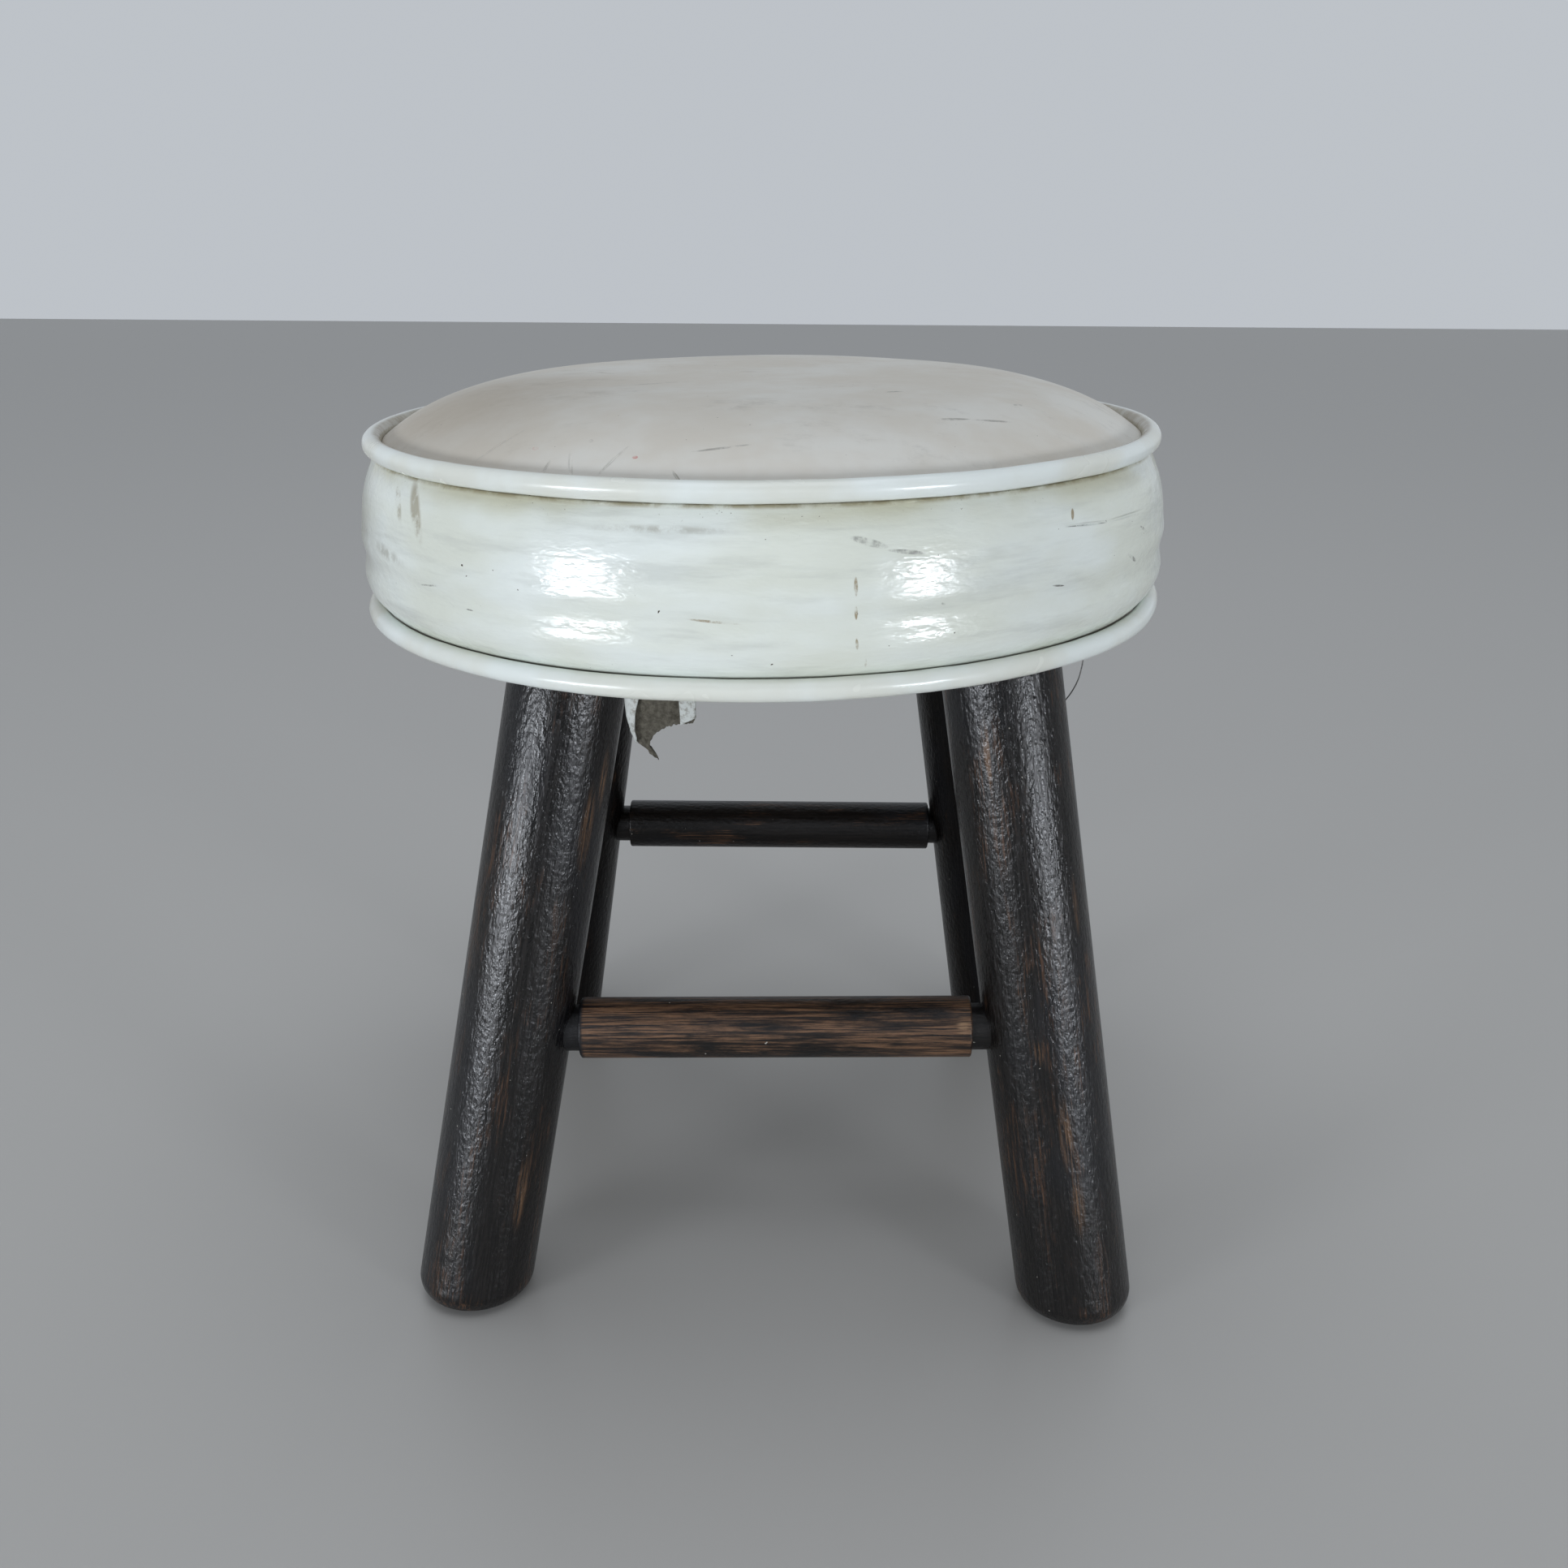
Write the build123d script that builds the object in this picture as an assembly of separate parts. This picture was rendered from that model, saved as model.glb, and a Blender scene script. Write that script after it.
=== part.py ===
"""Round milking stool: a padded, vinyl-covered seat on four splayed turned legs with two stretchers.

Millimetres. +Z is up, the floor is z = 0 and the origin is under the middle of the seat.
-Y is the front of the stool and +X is its right-hand side as seen from the front.
"""

import os
from math import atan2, cos, degrees, radians, sin, tan

from build123d import *

os.makedirs("parts", exist_ok=True)

# ---------------------------------------------------------------- driving dimensions

SEAT_SEAM_R = 152.4  # the two seams of the cover, a 12 inch seat
VINYL = 1.1  # cover sheet
GAP = 0.2  # slack between the soft layers

BOARD_BOTTOM = 259.5
BOARD_THICKNESS = 22.0
BOARD_TOP = BOARD_BOTTOM + BOARD_THICKNESS
BOARD_R = SEAT_SEAM_R - 3 * VINYL - 0.1  # hem, piping flange and band lie between it and the seam

LOW_SEAM_Z = 264.0  # band meets the bottom piping
HIGH_SEAM_Z = 320.9  # band meets the top piping
ALLOWANCE = 9.5  # turned-in seam allowance

TOP_PIPING_R, TOP_PIPING_TUBE, TOP_PIPING_Z = 152.6, 3.85, 324.8
LOW_PIPING_R, LOW_PIPING_TUBE, LOW_PIPING_Z = 155.5, 3.95, 261.3

BAND_BULGE = 7.4  # how far the band swells past its seams
DOME_R = 148.8  # edge of the top panel, against the piping
DOME_RISE = 21.9
DOME_POWER = 5.5  # flat crown that falls away near the edge
WADDING = 4.0

HEM_WIDTH = 25.0  # turned under the board
TACK_COUNT = 26
TACK_CIRCLE_R = 139.0
TACK_HEAD_R = 4.0
TACK_HEAD_RISE = 1.6
TACK_SHANK_R = 0.9
TACK_SHANK_LENGTH = 11.0
TEAR_ANGLE = -104.0  # where the hem has torn, seen from above
TEAR_HALF_ANGLE = 5.6

SEAT_LEAN_X = 0.80  # degrees: the right side of the seat sits a little high
SEAT_LEAN_Y = 0.34  # degrees: so does the back
SEAT_PIVOT_Z = 290.0

LEG_R = 22.2
LEG_TENON_R = 14.0
FOOT_ROUND = 8.0
LEG_FOOT = {  # axis on the floor
    "front_left": (-114.7, -115.8),
    "front_right": (124.6, -124.6),
    "back_left": (-110.5, 121.2),
    "back_right": (126.2, 117.9),
}
LEG_HEAD = {  # axis at the height LEG_HEAD_Z
    "front_left": (-70.1, -74.4),
    "front_right": (86.1, -84.4),
    "back_left": (-72.9, 80.3),
    "back_right": (85.9, 77.6),
}
LEG_HEAD_Z = 257.0
WEDGE_WIDTH = 3.4
WEDGE_TIP = 0.6
WEDGE_DEPTH = 16.0

STRETCHER_R = 11.7
STRETCHER_TENON_R = 8.9
STRETCHER_EDGE = 0.8
STRETCHER_HALF_LENGTH = 75.0
STRETCHER_Z = {"front": 109.8, "back": 114.3}
STRETCHER_RISE = {"front": 2.8, "back": 0.0}  # right end up, left end down
STRETCHER_SHIFT = {"front": -0.6, "back": 1.2}  # body off the middle, so its gaps differ

THREAD_R = 0.25
THREAD_ROUTE = [
    (114.0, -102.7, 257.6),
    (114.4, -99.0, 252.5),
    (114.9, -90.5, 244.5),
    (113.8, -78.5, 234.6),
    (108.6, -67.0, 223.0),
    (103.4, -60.0, 208.0),
    (101.2, -56.5, 192.0),
    (100.9, -56.6, 177.0),
]


# ---------------------------------------------------------------- helpers


def in_seat(shape):
    """Moves a shape from the level seat into the slightly leaning one."""
    lean = Pos(0, 0, SEAT_PIVOT_Z) * Rot(SEAT_LEAN_Y, -SEAT_LEAN_X, 0) * Pos(0, 0, -SEAT_PIVOT_Z)
    return lean * shape


def turned(face):
    """A solid of revolution about the seat's axis from a face drawn as radius and height."""
    return revolve(face, Axis.Z)


def outline(*edges):
    """One face on the XZ plane, where local x is the radius and local y the height."""
    return Plane.XZ * make_face(edges)


def path(*points):
    """Straight runs through points."""
    return Polyline(*points)


def flat_face(*points):
    """A face on the XY plane with the given corners."""
    return make_face(path(*points, points[0]))


def box_face(r_in, r_out, z_low, z_high):
    """A rectangle on the XZ plane between two radii and two heights."""
    corners = [(r_in, z_low), (r_out, z_low), (r_out, z_high), (r_in, z_high)]
    return outline(path(*corners, corners[0]))


def ring(r_in, r_out, z_low, z_high):
    """A flat ring or a disc."""
    return turned(box_face(r_in, r_out, z_low, z_high))


def donut(ring_r, tube_r, z):
    """A torus about the seat's axis."""
    return Pos(0, 0, z) * Torus(ring_r, tube_r)


def dome_z(radius):
    """Height of the outside of the top panel."""
    return TOP_PIPING_Z + DOME_RISE * (1 - (radius / DOME_R) ** DOME_POWER)


def dome_curve(drop, edge_r):
    """The dome's line, lowered by drop, from the middle out to edge_r."""
    radii = [edge_r * share for share in (0, 0.35, 0.62, 0.8, 0.92, 1.0)]
    return Spline(*[(radius, dome_z(radius) - drop) for radius in radii], tangents=[(1, 0), (1, -0.8)])


def band_curve(inset, z_low, z_high):
    """The swelling line of the band from z_low up to z_high, moved in by inset."""
    middle = (LOW_SEAM_Z + HIGH_SEAM_Z) / 2
    half = (HIGH_SEAM_Z - LOW_SEAM_Z) / 2
    points = []
    for share in (0, 0.12, 0.33, 0.55, 0.76, 0.92, 1.0):
        z = z_low + (z_high - z_low) * share
        swell = 1 - abs((z - middle + 3.5 * (1 - ((z - middle) / half) ** 2)) / half) ** 2.6
        points.append((SEAT_SEAM_R + BAND_BULGE * max(swell, 0) - inset, z))
    return Spline(*points)


def point_on(foot, head, z):
    """The point at height z on the line from a foot on the floor to a head at LEG_HEAD_Z."""
    share = z / LEG_HEAD_Z
    return Vector(
        foot[0] + (head[0] - foot[0]) * share, foot[1] + (head[1] - foot[1]) * share, z
    )


def rod(start, end, radius):
    """A round bar between two points."""
    direction = end - start
    return extrude(Plane(origin=start, z_dir=direction) * Circle(radius), direction.length)


def leg_point(name, z):
    """The point at height z on the axis of the leg of that name."""
    return point_on(LEG_FOOT[name], LEG_HEAD[name], z)


# ---------------------------------------------------------------- wooden frame


def stretcher_axis(side):
    """Ends of the axis of the stretcher between the two legs of one side: on the legs' own axes."""
    height, rise = STRETCHER_Z[side], STRETCHER_RISE[side]
    return leg_point(side + "_left", height - rise), leg_point(side + "_right", height + rise)


def stretcher_tenons(side):
    """The turned-down bar that runs from leg axis to leg axis."""
    left, right = stretcher_axis(side)
    return rod(left, right, STRETCHER_TENON_R)


def stretcher(side):
    """A stretcher: a thicker body with square shoulders on its turned-down bar."""
    left, right = stretcher_axis(side)
    along = (right - left).normalized()
    middle = (left + right) * 0.5 + along * STRETCHER_SHIFT[side]
    body = rod(middle - along * STRETCHER_HALF_LENGTH, middle + along * STRETCHER_HALF_LENGTH, STRETCHER_R)
    shoulders = body.edges().filter_by(GeomType.CIRCLE)
    return fillet(shoulders, STRETCHER_EDGE) + stretcher_tenons(side)


def board_slab():
    """The seat board's full thickness as a wide slab, in the leaning seat."""
    return in_seat(ring(0, 400, BOARD_BOTTOM, BOARD_TOP))


def below_board():
    """Everything under the board, in the leaning seat."""
    return in_seat(ring(0, 400, -60, BOARD_BOTTOM))


def leg_tenon(name):
    """The round tenon of one leg, as thick as the board."""
    return rod(leg_point(name, 235), leg_point(name, 300), LEG_TENON_R) & board_slab()


def wedge(name):
    """A wedge driven into the top of one leg's tenon, across the line to the seat's middle."""
    head = leg_point(name, BOARD_TOP)
    turn = degrees(atan2(LEG_HEAD[name][1], LEG_HEAD[name][0]))
    half_top, half_tip = WEDGE_WIDTH / 2, WEDGE_TIP / 2
    profile = flat_face(
        (-half_top, 6), (half_top, 6), (half_tip, -WEDGE_DEPTH), (-half_tip, -WEDGE_DEPTH)
    )
    blade = extrude(Plane.XZ * profile, LEG_TENON_R * 2, both=True)
    placed = Pos(head.X, head.Y, head.Z) * Rot(0, 0, turn) * blade
    return placed & leg_tenon(name)


def leg(name):
    """A straight round leg: levelled and rounded foot, tenon at the top, mortise for its stretcher."""
    shaft = rod(leg_point(name, -40), leg_point(name, 300), LEG_R)
    shaft = shaft & Pos(0, 0, 200) * Box(600, 600, 400)
    foot_edge = shaft.edges().sort_by(Axis.Z)[0]
    shaft = fillet(foot_edge, FOOT_ROUND) & below_board()
    side = name.split("_")[0]
    return shaft + leg_tenon(name) - stretcher_tenons(side) - wedge(name)


# ---------------------------------------------------------------- seat board and its fixings


def tack_angles():
    """Angles of the tacks: evenly spaced, none at the tear and none under a leg."""
    angles = []
    for index in range(TACK_COUNT):
        angle = TEAR_ANGLE + 360 / TACK_COUNT * (index + 0.5)
        place = Vector(TACK_CIRCLE_R * cos(radians(angle)), TACK_CIRCLE_R * sin(radians(angle)), 0)
        legs = [Vector(*LEG_HEAD[name], 0) for name in LEG_HEAD]
        if min((place - head).length for head in legs) > LEG_R + TACK_HEAD_R + 2:
            angles.append(angle)
    return angles


def tack(angle):
    """A domed tack driven up through the hem into the board."""
    face_z = BOARD_BOTTOM - VINYL
    dome_r = (TACK_HEAD_R**2 + TACK_HEAD_RISE**2) / (2 * TACK_HEAD_RISE)
    ball = Pos(0, 0, face_z - TACK_HEAD_RISE + dome_r) * Sphere(dome_r)
    head = ball & Pos(0, 0, face_z - 5) * Box(20, 20, 10)
    tip_z = face_z + TACK_SHANK_LENGTH
    shank = outline(
        path((0, face_z - 0.5), (TACK_SHANK_R, face_z - 0.5), (TACK_SHANK_R, tip_z - 3),
             (0.2, tip_z), (0, tip_z), (0, face_z - 0.5))
    )
    return Rot(0, 0, angle) * Pos(TACK_CIRCLE_R, 0, 0) * (head + turned(shank))


def seat_board(tacks):
    """The round board with a mortise for each leg's tenon and the tacks' holes."""
    board = ring(0, BOARD_R, BOARD_BOTTOM, BOARD_TOP)
    board = fillet(board.edges().filter_by(GeomType.CIRCLE).group_by(Axis.Z)[-1], 2.0)
    board = in_seat(board)
    for name in LEG_HEAD:
        board = board - rod(leg_point(name, 235), leg_point(name, 300), LEG_TENON_R)
    for one in tacks:
        board = board - one
    return board


# ---------------------------------------------------------------- stuffing


def foam_pad():
    """A block of foam that swells over the board's edge and up into the dome."""
    lining = VINYL + WADDING + 2 * GAP
    edge_r = DOME_R - lining
    low, high = BOARD_TOP + GAP, HIGH_SEAM_Z - ALLOWANCE - WADDING
    side = band_curve(lining, low, high)
    crown = dome_curve(lining, edge_r)
    return turned(
        outline(
            path((0, low), side @ 0),
            side,
            path(side @ 1, (edge_r, high + 2), crown @ 1),
            crown,
            path((0, dome_z(0) - lining), (0, low)),
        )
    )


def wadding(foam):
    """Cotton wadding over the foam, pulled down past the edge of the board."""
    skin = VINYL + GAP
    edge_r = DOME_R - VINYL - 0.1
    low, high = LOW_SEAM_Z + ALLOWANCE + GAP, HIGH_SEAM_Z - ALLOWANCE - GAP
    side = band_curve(skin, low, high)
    crown = dome_curve(skin, edge_r)
    whole = turned(
        outline(
            path((0, low), side @ 0),
            side,
            path(side @ 1, (edge_r - VINYL, high), crown @ 1),
            crown,
            path((0, dome_z(0) - skin), (0, low)),
        )
    )
    core = turned(
        outline(
            path((0, low - 5), (BOARD_R + GAP, low - 5), (BOARD_R + GAP, BOARD_TOP + 2 * GAP),
                 (0, BOARD_TOP + 2 * GAP), (0, low - 5))
        )
    )
    return whole - core - foam


# ---------------------------------------------------------------- cover


def piping(ring_r, tube_r, z, flange_r, flange_low, flange_high):
    """A vinyl strip folded round a cord: the tube and the flange that is sewn into the seam."""
    tube = donut(ring_r, tube_r, z)
    flange = ring(flange_r, flange_r + VINYL, flange_low, flange_high)
    return tube + flange - donut(ring_r, tube_r - VINYL, z)


def top_piping():
    """Piping between the top panel and the band."""
    return piping(
        TOP_PIPING_R, TOP_PIPING_TUBE, TOP_PIPING_Z,
        SEAT_SEAM_R - 2 * VINYL, HIGH_SEAM_Z - ALLOWANCE, HIGH_SEAM_Z + 1.3,
    )


def bottom_piping():
    """Piping between the band and the hem under the board, standing a little out from its flange."""
    flange_r = SEAT_SEAM_R - 2 * VINYL
    tube_and_flange = piping(
        LOW_PIPING_R, LOW_PIPING_TUBE, LOW_PIPING_Z, flange_r, BOARD_BOTTOM, LOW_SEAM_Z + ALLOWANCE
    )
    neck_r = LOW_PIPING_R - LOW_PIPING_TUBE + VINYL / 2
    return tube_and_flange + ring(flange_r, neck_r, LOW_PIPING_Z - VINYL / 2, LOW_PIPING_Z + VINYL / 2)


def piping_cord(ring_r, tube_r, z):
    """The cord inside a piping."""
    return donut(ring_r, tube_r - VINYL - 0.05, z)


def cover_band():
    """The strip round the side of the seat, swollen by the stuffing behind it."""
    low, high = LOW_SEAM_Z, HIGH_SEAM_Z
    outer = band_curve(0, low, high)
    inner = band_curve(VINYL, low, high)
    shell = turned(outline(outer, path(outer @ 1, inner @ 1), inner, path(inner @ 0, outer @ 0)))
    allowance = ring(SEAT_SEAM_R - VINYL, SEAT_SEAM_R, high - ALLOWANCE, high)
    low_piping = donut(LOW_PIPING_R, LOW_PIPING_TUBE, LOW_PIPING_Z)
    high_piping = donut(TOP_PIPING_R, TOP_PIPING_TUBE, TOP_PIPING_Z)
    return shell + allowance - low_piping - high_piping


def cover_top():
    """The round top panel, with its edge turned down into the seam."""
    edge_r = DOME_R
    fold_r = SEAT_SEAM_R - 2 * VINYL
    low = HIGH_SEAM_Z - ALLOWANCE
    outer = dome_curve(0, edge_r)
    inner = dome_curve(VINYL, edge_r - 0.9)
    shell = turned(
        outline(
            outer,
            path(outer @ 1, (fold_r, TOP_PIPING_Z - 1.0), (fold_r, low), (fold_r - VINYL, low),
                 (fold_r - VINYL, HIGH_SEAM_Z), inner @ 1),
            inner,
            path(inner @ 0, outer @ 0),
        )
    )
    return shell - donut(TOP_PIPING_R, TOP_PIPING_TUBE, TOP_PIPING_Z)


def tear_sector():
    """The wedge of space where the hem has torn away."""
    reach = 200
    width = reach * tan(radians(TEAR_HALF_ANGLE))
    mouth = flat_face((0, 0), (reach, -width), (reach, width))
    return Rot(0, 0, TEAR_ANGLE) * Pos(0, 0, BOARD_BOTTOM - 20) * extrude(mouth, 20.0)


def cover_hem(tacks):
    """The strip sewn below the bottom piping, turned under the board and cut round the legs."""
    inner_r = BOARD_R + 0.1
    under = BOARD_BOTTOM - VINYL
    hem = ring(inner_r - HEM_WIDTH, inner_r, under, BOARD_BOTTOM)
    hem = hem + ring(inner_r, inner_r + VINYL, under, LOW_SEAM_Z + ALLOWANCE)
    hem = in_seat(hem - tear_sector())
    for name in LEG_HEAD:
        hem = hem - rod(leg_point(name, 235), leg_point(name, 300), LEG_R + 1.0)
    for one in tacks:
        hem = hem - one
    return hem


def torn_flap():
    """The torn tongue of hem that hangs down behind the bottom piping, with a pointed tail."""
    shape = flat_face(
        (-12.5, 0), (12.5, 0), (12.8, -11.0), (10.8, -13.8), (3.0, -14.2), (-3.4, -18.5),
        (-5.4, -22.0), (-2.2, -26.4), (-3.2, -26.6), (-8.2, -22.4), (-10.4, -17.5),
    )
    hang_r = BOARD_R - 2.0
    sheet = Plane.XZ * extrude(shape, VINYL / 2, both=True)
    drop = Pos(0, hang_r, BOARD_BOTTOM - VINYL) * Rot(0, 0, 180) * sheet
    return in_seat(Rot(0, 0, TEAR_ANGLE - 90) * drop)


# ---------------------------------------------------------------- loose thread


def loose_thread():
    """A waxed thread end that hangs from the bottom seam beside the right front leg."""
    points = [Vector(*point) for point in THREAD_ROUTE]
    radii = []
    for before, corner, after in zip(points, points[1:], points[2:]):
        turn = (corner - before).get_angle(after - corner)
        shorter = min((corner - before).length, (after - corner).length)
        radii.append(0.45 * shorter / tan(radians(turn / 2)))
    print("thread radii", [round(radius, 1) for radius in radii])
    line = FilletPolyline(*points, radius=radii)
    start = Plane(origin=line @ 0, z_dir=line % 0)
    thread = sweep(start * Circle(THREAD_R), line)
    print("thread length", round(line.length, 1), "volume", round(thread.volume, 3))
    return thread


# ---------------------------------------------------------------- write


def save(name, shape):
    """Writes one sub-part to its own file."""
    export_step(shape, f"parts/{name}.step")


def main():
    """Builds and writes every sub-part."""
    tacks = [in_seat(tack(angle)) for angle in tack_angles()]
    foam = foam_pad()

    for name in LEG_HEAD:
        save("leg_" + name, leg(name))
    for side in ("front", "back"):
        save("stretcher_" + side, stretcher(side))
    save("tenon_wedges", Compound(children=[wedge(name).solid() for name in LEG_HEAD]))
    save("seat_board", seat_board(tacks))
    save("hem_tacks", Compound(children=[one.solid() for one in tacks]))

    save("foam_pad", in_seat(foam))
    save("wadding", in_seat(wadding(foam)))
    save("cover_top", in_seat(cover_top()))
    save("cover_band", in_seat(cover_band()))
    save("top_piping", in_seat(top_piping()))
    save("top_piping_cord", in_seat(piping_cord(TOP_PIPING_R, TOP_PIPING_TUBE, TOP_PIPING_Z)))
    save("bottom_piping", in_seat(bottom_piping()))
    save("bottom_piping_cord", in_seat(piping_cord(LOW_PIPING_R, LOW_PIPING_TUBE, LOW_PIPING_Z)))
    save("cover_hem", cover_hem(tacks))
    save("torn_flap", torn_flap())
    save("loose_thread", loose_thread())


main()
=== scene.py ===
# %% [markdown]
# # A round milking stool with a padded, vinyl-covered seat
# The stool is a round softwood board on four splayed, turned legs with a stretcher between
# the two front legs and one between the two back legs. Over the board lie a block of foam
# and a layer of cotton wadding, held by a cover of white leathercloth: a round top panel, a
# band round the side, two rings of piping and a hem that is tacked under the board.
# The hard parts keep their CAD shape here and get real finishes. The soft parts are drawn
# again, because cloth that was sewn, pulled and sat on for years is never a clean solid.

# %% Load the frame
import math

import bpy
import numpy as np
from mathutils import Matrix, Vector, noise


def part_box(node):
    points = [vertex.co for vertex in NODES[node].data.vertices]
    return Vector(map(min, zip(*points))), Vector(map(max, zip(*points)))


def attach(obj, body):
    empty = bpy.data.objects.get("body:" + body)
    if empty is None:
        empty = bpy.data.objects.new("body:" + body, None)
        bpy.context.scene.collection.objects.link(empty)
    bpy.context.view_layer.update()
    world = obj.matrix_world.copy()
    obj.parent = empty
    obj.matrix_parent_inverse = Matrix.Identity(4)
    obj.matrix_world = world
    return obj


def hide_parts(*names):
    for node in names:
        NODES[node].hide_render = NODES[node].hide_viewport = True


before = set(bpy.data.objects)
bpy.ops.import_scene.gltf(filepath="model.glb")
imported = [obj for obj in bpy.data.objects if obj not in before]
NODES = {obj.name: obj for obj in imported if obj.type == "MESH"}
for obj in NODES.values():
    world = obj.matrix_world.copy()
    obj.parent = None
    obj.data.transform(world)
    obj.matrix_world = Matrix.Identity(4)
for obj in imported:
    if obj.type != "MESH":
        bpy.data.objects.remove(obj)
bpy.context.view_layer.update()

MM = 0.001

# %% [markdown]
# ## Camera
# The stool is seen from the front, from a little above the seat and quite close, as a person
# sees it who sits down opposite. A lens of 36 mm on a 36 mm wide sensor shows 53 degrees, and
# the short distance makes the front legs look clearly larger than the back ones. The Standard
# view shows each colour as its hex value says, without the soft shoulder of a film look.

# %% Camera
EYE = Vector((0, -0.6423, 0.4038))
LOOK = Vector((0.0136, 0.9408, -0.3387)).normalized()
ROLL = 0.008
LENS_MM = 36.06
SENSOR_MM = 36.0


def aimed(place, direction, roll=0.0):
    """The matrix of a camera or light at place that points along direction."""
    level = direction.cross(Vector((0, 0, 1))).normalized()
    upright = level.cross(direction)
    right = level * math.cos(roll) + upright * math.sin(roll)
    up = right.cross(direction)
    turn = Matrix((right, up, -direction)).transposed().to_4x4()
    return Matrix.Translation(place) @ turn


camera_data = bpy.data.cameras.new("camera")
camera_data.lens = LENS_MM
camera_data.sensor_width = SENSOR_MM
camera_data.clip_start = 0.01
camera = bpy.data.objects.new("camera", camera_data)
camera.matrix_world = aimed(EYE, LOOK, ROLL)
bpy.context.scene.collection.objects.link(camera)
bpy.context.scene.camera = camera
bpy.context.scene.view_settings.view_transform = "Standard"
print("camera at", [round(x, 3) for x in EYE])

# %% [markdown]
# ## Loose thread
# One end of the thread that closed the bottom seam hangs beside the right front leg. It is a
# limp, waxed thread half a millimetre thick, so it is a curve with a round section: its points
# are the same ones that the thread's CAD solid follows, and a NURBS line runs smoothly past them.
# The section is a circle of 1 m that each point's own radius scales down to the thread's, which
# also keeps the curve's box as thin as the thread.

# %% Loose thread
THREAD_THICKNESS = 0.5 * MM
THREAD_ROUTE = [
    (0.1140, -0.1027, 0.2576),
    (0.1144, -0.0990, 0.2525),
    (0.1149, -0.0905, 0.2445),
    (0.1138, -0.0785, 0.2346),
    (0.1086, -0.0670, 0.2230),
    (0.1034, -0.0600, 0.2080),
    (0.1012, -0.0565, 0.1920),
    (0.1009, -0.0566, 0.1770),
]


def fit(piece, node):
    """Puts a drawn piece on the stool in place of a CAD node and gives it a slot."""
    bpy.context.scene.collection.objects.link(piece)
    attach(piece, "root")
    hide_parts(node)


thread_curve = bpy.data.curves.new("hanging_thread", "CURVE")
thread_curve.dimensions = "3D"
thread_line = thread_curve.splines.new("NURBS")
thread_line.points.add(len(THREAD_ROUTE) - 1)
for point, place in zip(thread_line.points, THREAD_ROUTE):
    point.co = (*place, 1)
    point.radius = THREAD_THICKNESS / 2
thread_line.order_u = 3
thread_line.use_endpoint_u = True
thread_line.resolution_u = 10
thread_curve.bevel_depth = 1.0
thread_curve.use_fill_caps = True
loose_thread = bpy.data.objects.new("hanging_thread", thread_curve)
fit(loose_thread, "loose_thread")
print("thread points:", len(THREAD_ROUTE))

# %% [markdown]
# ## The seat's own frame
# The seat leans by less than a degree, so its round parts are easier to draw in a frame of
# their own: millimetres, with the radius and angle round the seat's axis and the height above
# the middle of the bottom piping. The two cords inside the piping are plain rings, so the
# middles of their boxes give the axis, and every size below is read from the CAD nodes.

# %% Seat frame
def middle(node):
    """The middle of a CAD node's box."""
    low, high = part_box(node)
    return (Vector(low) + Vector(high)) / 2


SEAT_ORIGIN = middle("bottom_piping_cord")
SEAT_AXIS = (middle("top_piping_cord") - SEAT_ORIGIN).normalized()
SEAT_SIDE = (Vector((1, 0, 0)) - SEAT_AXIS * SEAT_AXIS.x).normalized()
SEAT_TURN = Matrix((SEAT_SIDE, SEAT_AXIS.cross(SEAT_SIDE), SEAT_AXIS)).transposed()


def seat_points(radius, angle, height):
    """Row-frame points, in metres, of places given in the seat's frame, in mm and radians."""
    parts = np.broadcast_arrays(radius * np.cos(angle), radius * np.sin(angle), height)
    return np.stack(parts, axis=-1) * MM @ np.array(SEAT_TURN).T + np.array(SEAT_ORIGIN)


def seat_spot(radius, degrees, height):
    """One place in the seat's frame as a vector in the row frame."""
    return Vector(seat_points(radius, np.radians(degrees), height).tolist())


print("seat leans", round(math.degrees(SEAT_AXIS.angle((0, 0, 1))), 2), "degrees")

# %% Rings of piping
def span(node):
    """Smallest and largest radius, then lowest and highest height, of a CAD node, in mm."""
    mesh = NODES[node].data
    points = np.empty(len(mesh.vertices) * 3)
    mesh.vertices.foreach_get("co", points)
    local = (points.reshape(-1, 3) - np.array(SEAT_ORIGIN)) @ np.array(SEAT_TURN) / MM
    radius = np.hypot(local[:, 0], local[:, 1])
    return radius.min(), radius.max(), local[:, 2].min(), local[:, 2].max()


def cord_ring(node):
    """Ring radius, tube radius and height of a round piping cord."""
    inner, outer, low, high = span(node)
    return (inner + outer) / 2, (high - low) / 2, (low + high) / 2


LOW_RING_R, LOW_CORD_R, LOW_RING_H = cord_ring("bottom_piping_cord")
HIGH_RING_R, HIGH_CORD_R, HIGH_RING_H = cord_ring("top_piping_cord")
print("bottom ring", round(LOW_RING_R, 2), "top ring", round(HIGH_RING_R, 2), "mm")
print("height between the rings", round(HIGH_RING_H, 2), "mm")

# %% [markdown]
# ## Drawing cloth as rings
# Each soft part is a stack of rings round the seat's axis, like a basket: one grid of points
# with a radius and a height of its own at every step and angle. A lathe modifier would turn one
# profile into a perfect solid, but here each point is moved by smooth noise first, so that
# the cloth gathers, sags and puckers. Real thickness is then given with a Solidify modifier.

# %% Folds
SEED_STEPS = (17.3, -9.1)


def round_angles(count):
    """A row of even angles round the seat, from the back, where the covers are joined."""
    return np.linspace(0, 2 * math.pi, count, endpoint=False)[None, :] + math.pi / 2


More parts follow.
